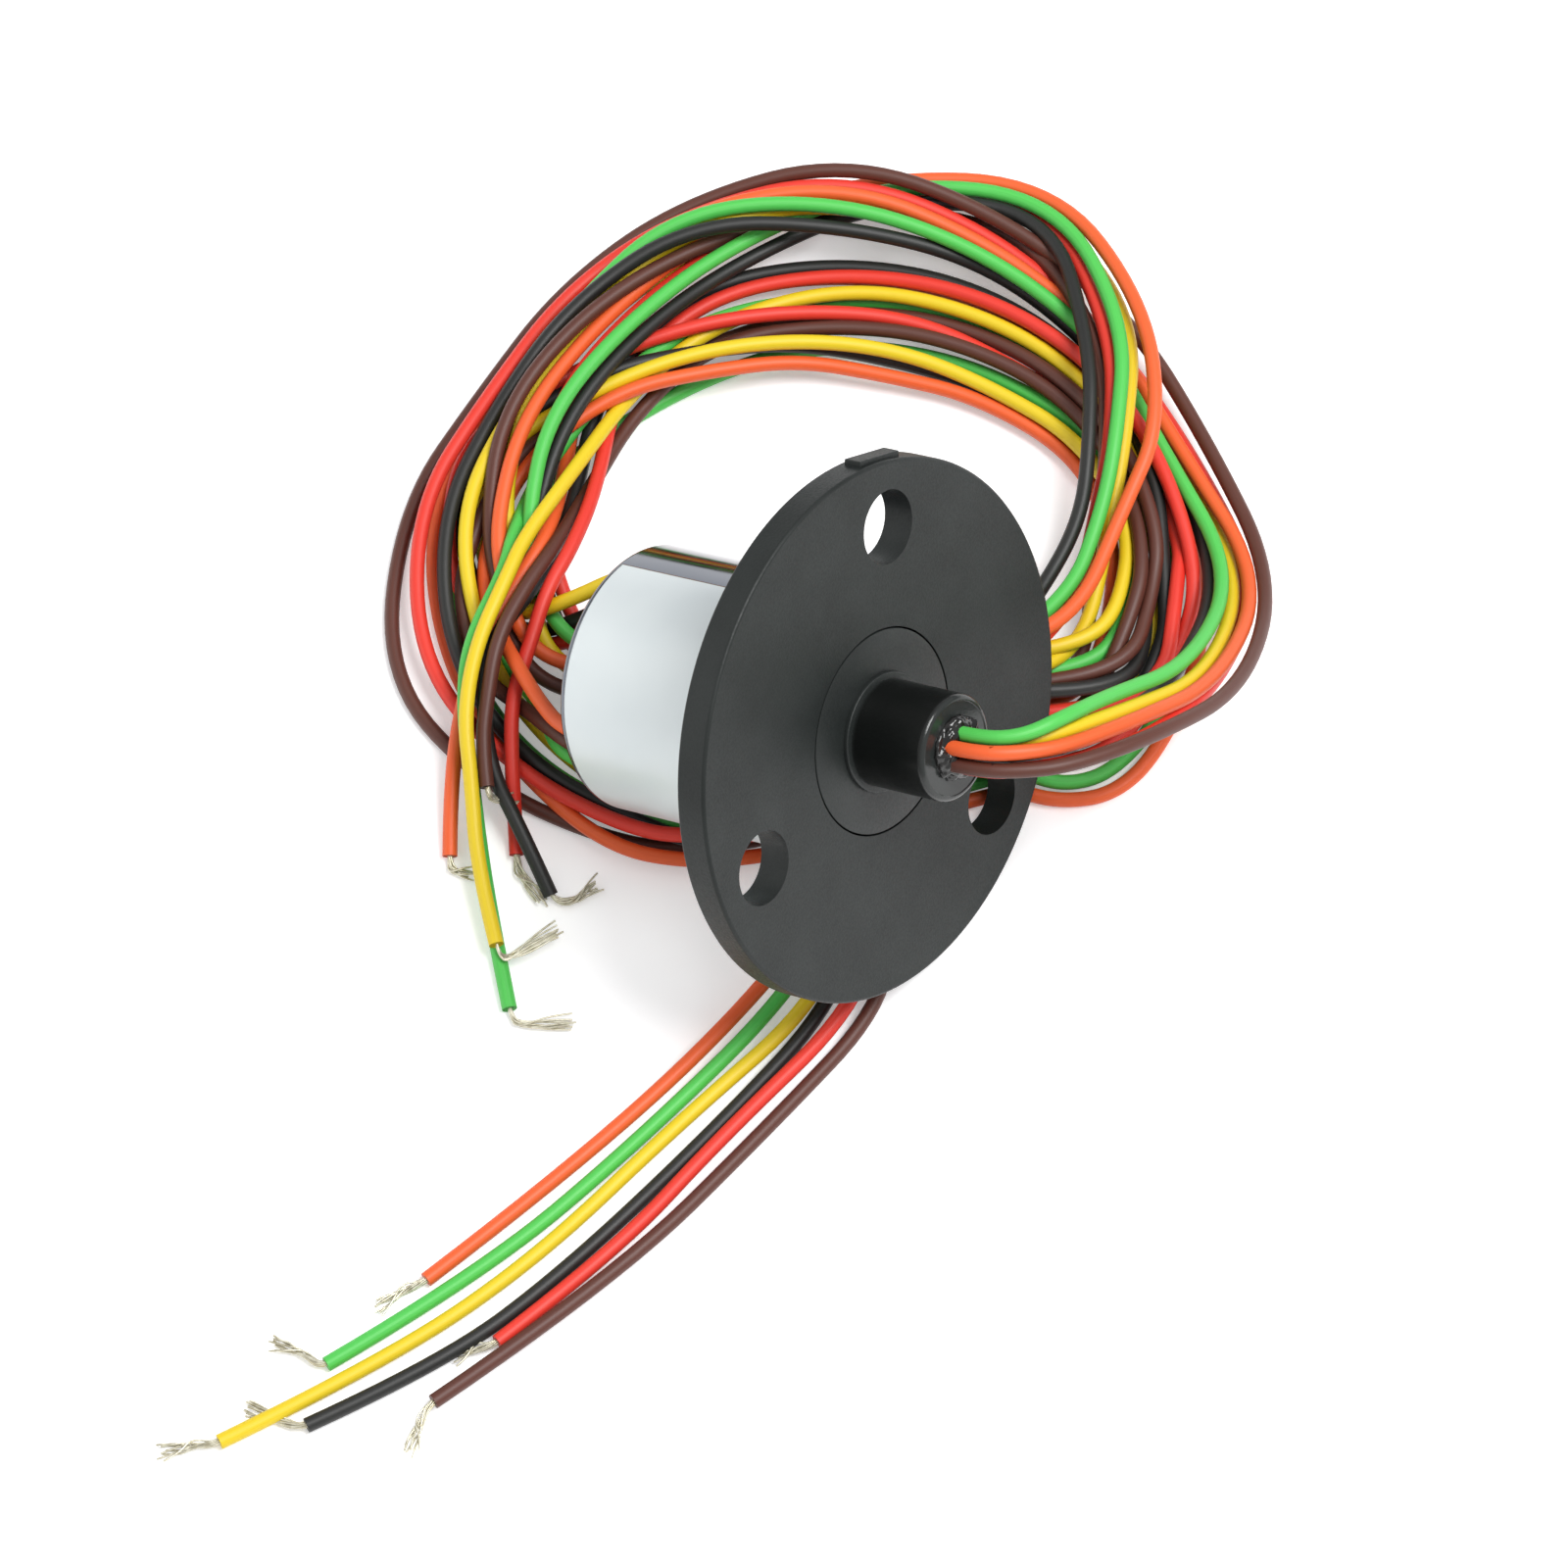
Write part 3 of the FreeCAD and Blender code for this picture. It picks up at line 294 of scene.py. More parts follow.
world = bpy.data.worlds.new("studio")
bpy.context.scene.world = world
world.use_nodes = True
nodes, links = world.node_tree.nodes, world.node_tree.links
sky = nodes["Background"]
place = nodes.new("ShaderNodeTexCoord")
height = nodes.new("ShaderNodeSeparateXYZ")
ramp = nodes.new("ShaderNodeValToRGB")
links.new(place.outputs["Generated"], height.inputs[0])
links.new(height.outputs["Z"], ramp.inputs[0])
ramp.color_ramp.elements[0].color = LOWEST_SKY
ramp.color_ramp.elements[1].color = PALE_SKY
for position, grey in SKY_GREYS:
    ramp.color_ramp.elements.new(position).color = (grey, grey, grey * SKY_BLUE, 1)
behind = ranged(nodes, links, height.outputs["Y"], 0, 1, BEHIND_FROM, BEHIND_TO)
links.new(blended(nodes, links, behind, PALE_SKY, ramp.outputs[0]), sky.inputs["Color"])
sky.inputs["Strength"].default_value = SKY_LEVEL


def area_lamp(name, place, size, watts, target=(0, 0, 0.01)):
    """A round lamp that points at the capsule."""
    deselect()
    bpy.ops.object.light_add(type="AREA", location=place)
    lamp = bpy.context.object
    lamp.name = name
    lamp.data.shape = "DISK"
    lamp.data.size = size
    lamp.data.energy = watts
    direction = Vector(place) - Vector(target)
    lamp.rotation_euler = direction.to_track_quat("Z", "Y").to_euler()
    return lamp


area_lamp("key", (0.35, 0.15, 0.9), 0.5, 9)
area_lamp("fill", (-0.86, -0.38, 0.38), 1.1, 2)
print("floor and lamps set")

# %% [markdown]
# ## Working by hand: turned pieces
# Most of the capsule is round. A turned piece starts as a circle whose edge is extruded and scaled from
# corner to corner of its profile, as on a lathe. Its edges are then softened, because every moulded or
# machined edge catches the light.

# %% Helpers for turned pieces
AROUND = 192
TINY = 1e-4
NEAR = 1e-3


def all_selected(action="SELECT"):
    bpy.ops.mesh.select_all(action=action)


def turned(name, profile, around=AROUND, closed=True):
    """A turned shape about the z axis, from (radius, z) corners in millimetres."""
    deselect()
    radius, z = profile[0]
    bpy.ops.mesh.primitive_circle_add(vertices=around, radius=radius, location=(0, 0, 0))
    piece = bpy.context.object
    piece.name = name
    bpy.ops.object.mode_set(mode="EDIT")
    bpy.ops.mesh.select_mode(type="VERT")
    all_selected()
    bpy.ops.transform.translate(value=(0, 0, z))
    for (r0, z0), (r1, z1) in zip(profile, profile[1:] + profile[:1] if closed else profile[1:]):
        bpy.ops.mesh.extrude_region_move(TRANSFORM_OT_translate={"value": (0, 0, z1 - z0)})
        bpy.ops.transform.resize(value=(r1 / r0, r1 / r0, 1), center_override=(0, 0, 0))
    all_selected()
    bpy.ops.mesh.remove_doubles(threshold=TINY)
    bpy.ops.mesh.normals_make_consistent(inside=False)
    bpy.ops.object.mode_set(mode="OBJECT")
    return piece


def select_edges(piece, wanted):
    """In edit mode, with only the edges selected whose two ends pass the test."""
    only(piece)
    bpy.ops.object.mode_set(mode="EDIT")
    bpy.ops.mesh.select_mode(type="EDGE")
    all_selected("DESELECT")
    mesh = bmesh.from_edit_mesh(piece.data)
    for edge in mesh.edges:
        if all(wanted(vertex.co) for vertex in edge.verts):
            edge.select = True
    mesh.select_flush(True)
    bmesh.update_edit_mesh(piece.data)


def soften(piece, radius, z, width, segments=4):
    """Rounds the circular edge of this radius at this height."""

    def on_circle(p):
        return abs(math.hypot(p.x, p.y) - radius) < NEAR and abs(p.z - z) < NEAR

    select_edges(piece, on_circle)
    bpy.ops.mesh.bevel(offset=width, segments=segments, profile=0.5)
    bpy.ops.object.mode_set(mode="OBJECT")


def apply_modifier(piece, kind, **values):
    """Adds a modifier with these values and applies it."""
    only(piece)
    modifier = piece.modifiers.new("step", kind)
    for name, value in values.items():
        setattr(modifier, name, value)
    bpy.ops.object.modifier_apply(modifier="step")


def smooth(piece, angle=35):
    only(piece)
    bpy.ops.object.shade_smooth_by_angle(angle=math.radians(angle))


def lay_down(piece, material, slot, body, *nodes):
    """Lays a finished piece down, gives it its finish and body, and lets it stand for its solids."""
    only(piece)
    piece.matrix_world = REST @ Matrix.Scale(MM, 4)
    bpy.ops.object.transform_apply(location=True, rotation=True, scale=True)
    piece.data.materials.clear()
    piece.data.materials.append(material)
    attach(piece, body)
    if nodes:
        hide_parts(*nodes)
    print(piece.name, len(piece.data.polygons), "faces")


def shifted(by):
    """Moves the mesh of the active piece."""
    bpy.ops.object.mode_set(mode="EDIT")
    all_selected()
    bpy.ops.transform.translate(value=by)
    bpy.ops.object.mode_set(mode="OBJECT")


def ring_profile(inner, outer, rear, front):
    """The corners of a plain ring."""
    return [(inner, rear), (outer, rear), (outer, front), (inner, front)]


# %% [markdown]
# ## Black moulded plastic
# Flange and rotor are moulded in charcoal plastic. Its skin has a very fine grain that breaks the shine
# into a broad sheen, and slightly paler patches. Two sizes of noise give that: both in the bump, the fine
# one in the roughness and the broad one in the colour, with no pattern that could be seen from far away.

# %% Moulded plastic
CHARCOAL = (srgb(25, 29, 28), srgb(35, 39, 38))
GRAIN = 5200
PATCHES = 160
PATCH_DEPTH = 0.00005


def moulded_plastic(name, dark, pale, roughness, grain, depth, shine=0.3):
    """Plastic with a fine grain of this depth in metres, and broad faint patches."""
    material, nodes, links, shader = new_material(name, dark, sum(roughness) / 2)
    shader.inputs["Specular IOR Level"].default_value = shine
    fine = noise(nodes, links, grain, 3.0)
    broad = noise(nodes, links, PATCHES, 4.0)
    tinted(nodes, links, shader, broad, dark, pale)
    dulled(nodes, links, shader, fine, roughness)
    first = bump(nodes, links, shader, fine, 0.5, depth)
    bump(nodes, links, shader, broad, 0.25, PATCH_DEPTH, first)
    return material


flange_finish = moulded_plastic("charcoal_moulding", *CHARCOAL, (0.4, 0.56), GRAIN, 0.00003)
rotor_finish = moulded_plastic("charcoal_rotor", *CHARCOAL, (0.38, 0.54), GRAIN, 0.00002, 0.38)
print("plastics", flange_finish.name, rotor_finish.name)

# %% [markdown]
# ## Housing
# The flange and the inner barrel are one moulding with three screw holes. It is turned, the holes are cut,
# and the edges are rounded by a bevel that follows angles, so it takes the rims of the holes too.

# %% Housing
FLANGE_RADIUS = 22.25
FLANGE_THICKNESS = 2.8
FLANGE_EDGE = 0.3
HOLE_RADIUS = 3.05
HOLE_CIRCLE = 16.8
HOLE_TURNS = (41.5, 161.5, 281.5)
POCKET_RADIUS = 8.55
POCKET_DEPTH = 1.7
HOUSING_RADIUS = 10.25
HOUSING_BORE = 9.25
HOUSING_REAR = -24.3
SEAT_RADIUS = 7.01
SEAT_DEPTH = 5.3
GATE_TURN = 40
GATE_LENGTH = 5.0
GATE_HEIGHT = 0.35
GATE_WIDTH = 1.6
GATE_EDGE = 0.12
HOLE_SIDES = 64
RIM_EDGE = 0.09
SHARP = math.radians(50)

housing = turned(
    "housing_moulding",
    [
        (POCKET_RADIUS, 0),
        (FLANGE_RADIUS, 0),
        (FLANGE_RADIUS, -FLANGE_THICKNESS),
        (HOUSING_RADIUS, -FLANGE_THICKNESS),
        (HOUSING_RADIUS, HOUSING_REAR),
        (HOUSING_BORE, HOUSING_REAR),
        (HOUSING_BORE, -SEAT_DEPTH),
        (SEAT_RADIUS, -SEAT_DEPTH),
        (SEAT_RADIUS, -POCKET_DEPTH),
        (POCKET_RADIUS, -POCKET_DEPTH),
    ],
)
for z in (0, -FLANGE_THICKNESS):
    soften(housing, FLANGE_RADIUS, z, FLANGE_EDGE)
for turn in HOLE_TURNS:
    angle = math.radians(turn)
    deselect()
    bpy.ops.mesh.primitive_cylinder_add(
        vertices=HOLE_SIDES,
        radius=HOLE_RADIUS,
        depth=4 * FLANGE_THICKNESS,
        location=(HOLE_CIRCLE * math.sin(angle), HOLE_CIRCLE * math.cos(angle), 0),
    )
    drill = bpy.context.object
    apply_modifier(housing, "BOOLEAN", object=drill, operation="DIFFERENCE", solver="EXACT")
    bpy.data.objects.remove(drill)
deselect()
bpy.ops.mesh.primitive_cube_add(size=1, location=(0, FLANGE_RADIUS - GATE_WIDTH / 4, -FLANGE_THICKNESS / 2))
gate = bpy.context.object
bpy.ops.object.mode_set(mode="EDIT")
all_selected()
bpy.ops.transform.resize(value=(GATE_LENGTH, GATE_WIDTH / 2 + 2 * GATE_HEIGHT, GATE_WIDTH))
bpy.ops.mesh.bevel(offset=GATE_EDGE, segments=2)
bpy.ops.object.mode_set(mode="OBJECT")
gate.matrix_world = Matrix.Rotation(math.radians(-GATE_TURN), 4, "Z") @ gate.matrix_world
bpy.context.view_layer.update()
apply_modifier(housing, "BOOLEAN", object=gate, operation="UNION", solver="EXACT")
bpy.data.objects.remove(gate)
apply_modifier(housing, "BEVEL", width=RIM_EDGE, segments=2, limit_method="ANGLE", angle_limit=SHARP)
smooth(housing)
apply_modifier(housing, "WEIGHTED_NORMAL", keep_sharp=True, weight=100)
lay_down(housing, flange_finish, "housing_plastic", "stator", "housing")

# %% [markdown]
# ## Rotor
# The disc lies flush in the flange, with a gap of a hair's width around it. The shaft stands on a low
# collar, and its end has a rounded, slightly glossier edge.

# %% Rotor
DISC_RADIUS = 8.4
DISC_THICKNESS = 1.5
COLLAR_RADIUS = 4.95
COLLAR_HEIGHT = 0.4
SHAFT_RADIUS = 4.4
SHAFT_REACH = 7.5
STEM_RADIUS = 2.99
STEM_REAR = -22.7
BORE_RADIUS = 2.2
RIM_WIDTH = 0.55
RIM_STEP = 0.08
BORE_DEPTH = 1.5
SHAFT_EDGE = 0.5
COLLAR_EDGE = 0.12
DISC_EDGE = 0.06
SHAFT_COLOUR = srgb(13, 15, 14)
SHAFT_GLOSS = 0.3
END_COLOUR = srgb(40, 43, 42)
END_GLOSS = 0.15
rotor = turned(
    "rotor_moulding",
    [
        (BORE_RADIUS, SHAFT_REACH - BORE_DEPTH),
        (BORE_RADIUS, SHAFT_REACH - RIM_STEP),
        (SHAFT_RADIUS - RIM_WIDTH, SHAFT_REACH - RIM_STEP),
        (SHAFT_RADIUS - RIM_WIDTH + RIM_STEP, SHAFT_REACH),
        (SHAFT_RADIUS, SHAFT_REACH),
        (SHAFT_RADIUS, COLLAR_HEIGHT),
        (COLLAR_RADIUS, COLLAR_HEIGHT),
        (COLLAR_RADIUS, 0),
        (DISC_RADIUS, 0),
        (DISC_RADIUS, -DISC_THICKNESS),
        (STEM_RADIUS, -DISC_THICKNESS),
        (STEM_RADIUS, STEM_REAR),
        (BORE_RADIUS, STEM_REAR),
    ],
)
soften(rotor, SHAFT_RADIUS, SHAFT_REACH, SHAFT_EDGE, 6)
soften(rotor, COLLAR_RADIUS, COLLAR_HEIGHT, COLLAR_EDGE, 3)
soften(rotor, DISC_RADIUS, 0, DISC_EDGE, 2)
smooth(rotor)

# The shaft is blacker and glossier than the disc, and glue was wiped over its end face, which shines most.
tree = rotor_finish.node_tree
nodes, links, shader = tree.nodes, tree.links, tree.nodes["Principled BSDF"]
on_shaft = along_axis(nodes, links, COLLAR_HEIGHT, COLLAR_HEIGHT + 0.3)
on_end = along_axis(nodes, links, SHAFT_REACH - 0.4, SHAFT_REACH - 0.1)
for socket, polished, where in (
    ("Base Color", SHAFT_COLOUR, on_shaft),
    ("Roughness", SHAFT_GLOSS, on_shaft),
    ("Base Color", END_COLOUR, on_end),
    ("Roughness", END_GLOSS, on_end),
):
    before = shader.inputs[socket].links[0].from_socket
    after = blended(nodes, links, where, before, polished, colour=socket == "Base Color")
    links.new(after, shader.inputs[socket])
lay_down(rotor, rotor_finish, "rotor_plastic", "rotor", "rotor_core")

# %% [markdown]
# ## Barrel
# The barrel is a thin metal sleeve, polished nearly to a mirror. A pale satin band with a slightly raised
# edge and no print is painted half way around it: a painted reflection of the pale surroundings that the
# mirror shows there. Its long edge shows as a line near the top of the barrel, with the darker bare metal
# above.

# %% Barrel sleeve
SLEEVE_RADIUS = 11.0
SLEEVE_WALL = 0.7
SLEEVE_REAR = -24.8
SLEEVE_EDGE = 0.6
SLEEVE_SIDES = 256
sleeve_profile = ring_profile(SLEEVE_RADIUS - SLEEVE_WALL, SLEEVE_RADIUS, SLEEVE_REAR, -FLANGE_THICKNESS)
sleeve = turned("sleeve_shell", sleeve_profile, SLEEVE_SIDES)
soften(sleeve, SLEEVE_RADIUS, SLEEVE_REAR, SLEEVE_EDGE, 8)
smooth(sleeve)
# The pale band is a painted reflection of the pale surroundings: within these turns and heights the sleeve
# is paler, rougher and less metallic than the bare metal.
PAINTED_REFLECTION_TOP = 20
PAINTED_REFLECTION_BOTTOM = -150
PAINTED_REFLECTION_REAR = -24.1
PAINTED_REFLECTION_FRONT = -3.1
METAL = (srgb(100, 104, 111), srgb(110, 113, 120))
PAINTED_REFLECTION = (srgb(206, 214, 216), srgb(214, 221, 222))
METAL_GLOSS = 0.12
PAINTED_REFLECTION_GLOSS = 0.38
GLOSS_DRIFT = 0.03
PAINTED_REFLECTION_METALLIC = 0.25
PAINTED_REFLECTION_EDGE = 0.05
PAINTED_REFLECTION_DEPTH = 0.00006

# Painted reflection: the band's mask blends in its pale colour, gloss and metallic value, and raises its
# edge.
sleeve_finish, nodes, links, shader = new_material("sleeve_and_painted_reflection", METAL[0], METAL_GLOSS, 1.0)
on_painted_reflection = around_axis(nodes, links, PAINTED_REFLECTION_BOTTOM, PAINTED_REFLECTION_TOP)
for end, inwards in ((PAINTED_REFLECTION_REAR, PAINTED_REFLECTION_EDGE), (PAINTED_REFLECTION_FRONT, -PAINTED_REFLECTION_EDGE)):
    within = along_axis(nodes, links, end - inwards, end + inwards)
    on_painted_reflection = calculated(nodes, links, "MULTIPLY", on_painted_reflection, within)
soft = noise(nodes, links, 120, 2.0)
patches = ranged(nodes, links, soft, 0, 1)
metal_colour, reflection_colour = (blended(nodes, links, patches, *pair) for pair in (METAL, PAINTED_REFLECTION))
links.new(blended(nodes, links, on_painted_reflection, metal_colour, reflection_colour), shader.inputs["Base Color"])
metal_gloss, reflection_gloss = (
    ranged(nodes, links, soft, middle - GLOSS_DRIFT, middle + GLOSS_DRIFT)
    for middle in (METAL_GLOSS, PAINTED_REFLECTION_GLOSS)
)
gloss = blended(nodes, links, on_painted_reflection, metal_gloss, reflection_gloss, colour=False)
links.new(gloss, shader.inputs["Roughness"])
links.new(ranged(nodes, links, on_painted_reflection, 1, PAINTED_REFLECTION_METALLIC, 0, 1), shader.inputs["Metallic"])
bump(nodes, links, shader, on_painted_reflection, 1.0, PAINTED_REFLECTION_DEPTH)
lay_down(sleeve, sleeve_finish, "sleeve_metal", "stator", "barrel_sleeve")

# %% [markdown]
# ## Leads
# Each lead is thin silicone-covered wire, 1.25 mm across and about 36 cm long. It leaves the shaft or the
# cap straight, sags to the floor and lies there in loose loops, on and under the others. A lead that is
# drawn point by point looks like bent wire, so each route has only about forty points, and a NURBS curve
# draws one smooth line from them. The points began as places read off the photograph. A program then moved
# them, by 1.5 mm on average and by up to 5.6 mm, to keep the bends wide and to push apart leads that ran
# through each other, so they aren't the places as read.

# %% Routes of the rotor's leads, in metres, in the order of their places in the shaft
ROTOR_ROUTES = {
    "green": [
        (0.0197, 0.0023, 0.0273), (0.0216, 0.0056, 0.0269), (0.0227, 0.0107, 0.0227),
        (0.0257, 0.0204, 0.0147), (0.0227, 0.0343, 0.0049), (0.0118, 0.0423, 0.0031),
        (0.0026, 0.0488, 0.0035), (-0.0101, 0.0511, 0.0046), (-0.0228, 0.0482, 0.0069),
        (-0.0341, 0.0407, 0.0067), (-0.038, 0.0297, 0.0035), (-0.0391, 0.019, 0.0015),
        (-0.0376, 0.0077, 0.00065), (-0.0301, -0.0027, 0.00065), (-0.0206, -0.0077, 0.00065),
        (-0.0104, -0.008, 0.00065), (-0.0051, -0.0066, 0.0022), (0.0014, -0.0022, 0.0043),
        (0.008, 0.002, 0.0035), (0.0115, 0.0071, 0.0015), (0.0151, 0.0111, 0.0012), (0.0192, 0.0119, 0.001),
        (0.0221, 0.0154, 0.0008), (0.0229, 0.0233, 0.00065), (0.0177, 0.0335, 0.00065),
        (0.0118, 0.0414, 0.00065), (0.0018, 0.0455, 0.00065), (-0.0093, 0.0467, 0.0009),
        (-0.0198, 0.043, 0.0011), (-0.0282, 0.0355, 0.0019), (-0.0317, 0.0243, 0.0038),
        (-0.0327, 0.0147, 0.0025), (-0.0309, 0.0079, 0.0057), (-0.0294, 0.004, 0.0068),
        (-0.0288, -0.0032, 0.0063), (-0.0264, -0.0081, 0.005), (-0.0227, -0.013, 0.0028),
        (-0.0187, -0.0183, 0.0014), (-0.0138, -0.0242, 0.001), (-0.0106, -0.0279, 0.00065),
    ],
    "yellow": [
        (0.0203, 0.003, 0.0259), (0.0224, 0.0062, 0.0249), (0.0243, 0.0114, 0.0208),
        (0.027, 0.0209, 0.0129), (0.0232, 0.0352, 0.0029), (0.0121, 0.0436, 0.0008),
        (0.0024, 0.0491, 0.00065), (-0.0097, 0.0525, 0.0023), (-0.0227, 0.0494, 0.0053),
        (-0.0328, 0.0406, 0.0056), (-0.0368, 0.0304, 0.0029), (-0.0373, 0.0182, 0.0045),
        (-0.036, 0.0074, 0.0048), (-0.029, -0.0013, 0.0028), (-0.02, -0.006, 0.0015),
        (-0.0097, -0.0069, 0.00065), (-0.0046, -0.0048, 0.00065), (0.0007, -0.0001, 0.0015),
        (0.0051, 0.0054, 0.0022), (0.01, 0.0099, 0.0017), (0.0139, 0.0139, 0.0009),
        (0.0177, 0.0161, 0.0008), (0.0197, 0.0202, 0.00065), (0.0196, 0.0253, 0.00065),
        (0.0167, 0.0331, 0.0008), (0.0107, 0.0401, 0.0029), (0.0019, 0.0459, 0.0028),
        (-0.0087, 0.0465, 0.0029), (-0.0191, 0.0435, 0.0025), (-0.0267, 0.0354, 0.0028),
        (-0.0299, 0.0259, 0.0028), (-0.0293, 0.0146, 0.0065), (-0.0294, 0.0071, 0.0074),
        (-0.0287, 0.0032, 0.0079), (-0.0279, -0.0033, 0.0073), (-0.0257, -0.0091, 0.0066),
        (-0.0226, -0.0133, 0.0048), (-0.0187, -0.0191, 0.0028), (-0.014, -0.0241, 0.0023),
    ],
    "black": [
        (0.0207, 0.0025, 0.0251), (0.0227, 0.0051, 0.0237), (0.024, 0.0105, 0.02), (0.0248, 0.0202, 0.0125),
        (0.0217, 0.034, 0.0033), (0.0119, 0.0427, 0.0019), (0.0024, 0.0487, 0.0021),
        (-0.0099, 0.0511, 0.003), (-0.0212, 0.0466, 0.0063), (-0.0323, 0.04, 0.0074),
        (-0.0379, 0.0296, 0.0048), (-0.0387, 0.0185, 0.0038), (-0.0374, 0.0069, 0.0043),
        (-0.0307, -0.0033, 0.0026), (-0.0207, -0.0086, 0.0023), (-0.0096, -0.0087, 0.0021),
        (-0.0039, -0.008, 0.0019), (0.0015, -0.0022, 0.0026), (0.0059, 0.0037, 0.0027),
        (0.0102, 0.0086, 0.0027), (0.0141, 0.0128, 0.0021), (0.0181, 0.0147, 0.0021),
        (0.0204, 0.0188, 0.002), (0.0203, 0.0269, 0.0021), (0.0177, 0.0316, 0.0025), (0.0124, 0.04, 0.0034),
        (0.0034, 0.0473, 0.0021), (-0.0098, 0.0493, 0.002), (-0.0221, 0.045, 0.002),
        (-0.0315, 0.0362, 0.0019), (-0.0324, 0.024, 0.0024), (-0.029, 0.0147, 0.0023),
        (-0.027, 0.0076, 0.0053), (-0.0268, 0.003, 0.0063), (-0.0273, -0.0016, 0.0063),
        (-0.0258, -0.006, 0.0049), (-0.0223, -0.011, 0.0036), (-0.0173, -0.0144, 0.0029),
        (-0.0128, -0.0174, 0.00065),
    ],
    "red": [
        (0.0209, 0.0009, 0.0251), (0.0236, 0.0038, 0.0239), (0.027, 0.0101, 0.0206),
        (0.0279, 0.0211, 0.012), (0.0245, 0.0356, 0.0025), (0.0132, 0.0444, 0.0011), (0.0032, 0.05, 0.0014),
        (-0.0097, 0.0537, 0.0031), (-0.024, 0.0513, 0.0055), (-0.0341, 0.0419, 0.0044),
        (-0.0396, 0.0321, 0.002), (-0.0399, 0.0192, 0.0036), (-0.0398, 0.0068, 0.0036),
        (-0.0325, -0.0052, 0.0022), (-0.021, -0.0098, 0.0026), (-0.0094, -0.01, 0.0028),
        (-0.0037, -0.0079, 0.0038), (0.0027, -0.0032, 0.0028), (0.0071, 0.003, 0.0023),
        (0.0108, 0.0083, 0.001), (0.0146, 0.0125, 0.0008), (0.0189, 0.0142, 0.0009),
        (0.0217, 0.0188, 0.0013), (0.0216, 0.028, 0.0027), (0.0197, 0.0336, 0.0036),
        (0.0124, 0.0409, 0.0043), (0.0032, 0.0465, 0.0041), (-0.0089, 0.048, 0.0035),
        (-0.0205, 0.0444, 0.0025), (-0.0296, 0.0364, 0.0023), (-0.0315, 0.0258, 0.0016),
        (-0.0272, 0.0152, 0.0051), (-0.0257, 0.0087, 0.0068), (-0.0255, 0.004, 0.0069),
        (-0.0245, -0.0005, 0.0055), (-0.0235, -0.0053, 0.0051), (-0.0206, -0.0102, 0.0037),
        (-0.0189, -0.0128, 0.0015), (-0.0171, -0.0156, 0.00065),
    ],
    "brown": [
        (0.0205, -0.0001, 0.0261), (0.0238, 0.0025, 0.0258), (0.0278, 0.0093, 0.0231),
        (0.0303, 0.021, 0.0139), (0.0258, 0.0357, 0.0044), (0.0143, 0.0453, 0.0024),
        (0.0035, 0.0522, 0.0028), (-0.0099, 0.0551, 0.004), (-0.0243, 0.0527, 0.006),
        (-0.035, 0.043, 0.0036), (-0.0404, 0.0322, 0.001), (-0.0413, 0.0202, 0.00065),
        (-0.0416, 0.0077, 0.00065), (-0.035, -0.0068, 0.00065), (-0.0227, -0.0115, 0.00065),
        (-0.0105, -0.0107, 0.00065), (-0.0044, -0.0079, 0.00065), (0.0018, -0.0027, 0.00065),
        (0.0051, 0.0043, 0.00065), (0.0085, 0.0102, 0.0008), (0.0125, 0.0147, 0.0011),
        (0.016, 0.0165, 0.0015), (0.0176, 0.0199, 0.0023), (0.017, 0.0268, 0.0039),
        (0.0156, 0.0319, 0.0044), (0.01, 0.039, 0.0031), (0.001, 0.0434, 0.0027), (-0.0094, 0.0429, 0.0032),
        (-0.0183, 0.0395, 0.0028), (-0.026, 0.0337, 0.0025), (-0.029, 0.025, 0.0016),
        (-0.0281, 0.015, 0.0033), (-0.027, 0.0079, 0.0067), (-0.027, 0.0036, 0.0076),
        (-0.0266, -0.0021, 0.0077), (-0.0249, -0.0067, 0.0063), (-0.0234, -0.0102, 0.0052),
        (-0.0213, -0.013, 0.0044),
    ],
    "orange": [
        (0.0198, 0.0007, 0.0272), (0.0226, 0.0036, 0.026), (0.0254, 0.0097, 0.0225),
        (0.0283, 0.0204, 0.0141), (0.025, 0.0351, 0.0044), (0.0128, 0.0434, 0.0026),
        (0.003, 0.0498, 0.0027), (-0.01, 0.0523, 0.0039), (-0.0234, 0.0502, 0.0063),
        (-0.0342, 0.0412, 0.0055), (-0.0383, 0.03, 0.0021), (-0.0403, 0.0189, 0.00065),
        (-0.039, 0.0071, 0.0008), (-0.0312, -0.0033, 0.001), (-0.022, -0.0086, 0.0012),
        (-0.0112, -0.0119, 0.002), (-0.0041, -0.0098, 0.0018), (0.0029, -0.0044, 0.0014),
        (0.0079, 0.0017, 0.0011), (0.0119, 0.0059, 0.0008), (0.0154, 0.0096, 0.00065),
        (0.0193, 0.0105, 0.00065), (0.0229, 0.0133, 0.00065), (0.0242, 0.0184, 0.00065),
        (0.0232, 0.028, 0.00065), (0.0201, 0.0332, 0.0022), (0.0129, 0.0419, 0.00065),
        (0.0031, 0.0471, 0.00065), (-0.0095, 0.0493, 0.00065), (-0.0218, 0.0448, 0.00065),
        (-0.0311, 0.0363, 0.00065), (-0.0346, 0.0249, 0.00065), (-0.0308, 0.0157, 0.002),
        (-0.0283, 0.0092, 0.006), (-0.0282, 0.0049, 0.0062), (-0.0283, -0.0018, 0.0053),
        (-0.0272, -0.0069, 0.004), (-0.0248, -0.0131, 0.0022), (-0.0218, -0.0184, 0.00065),
    ],
}

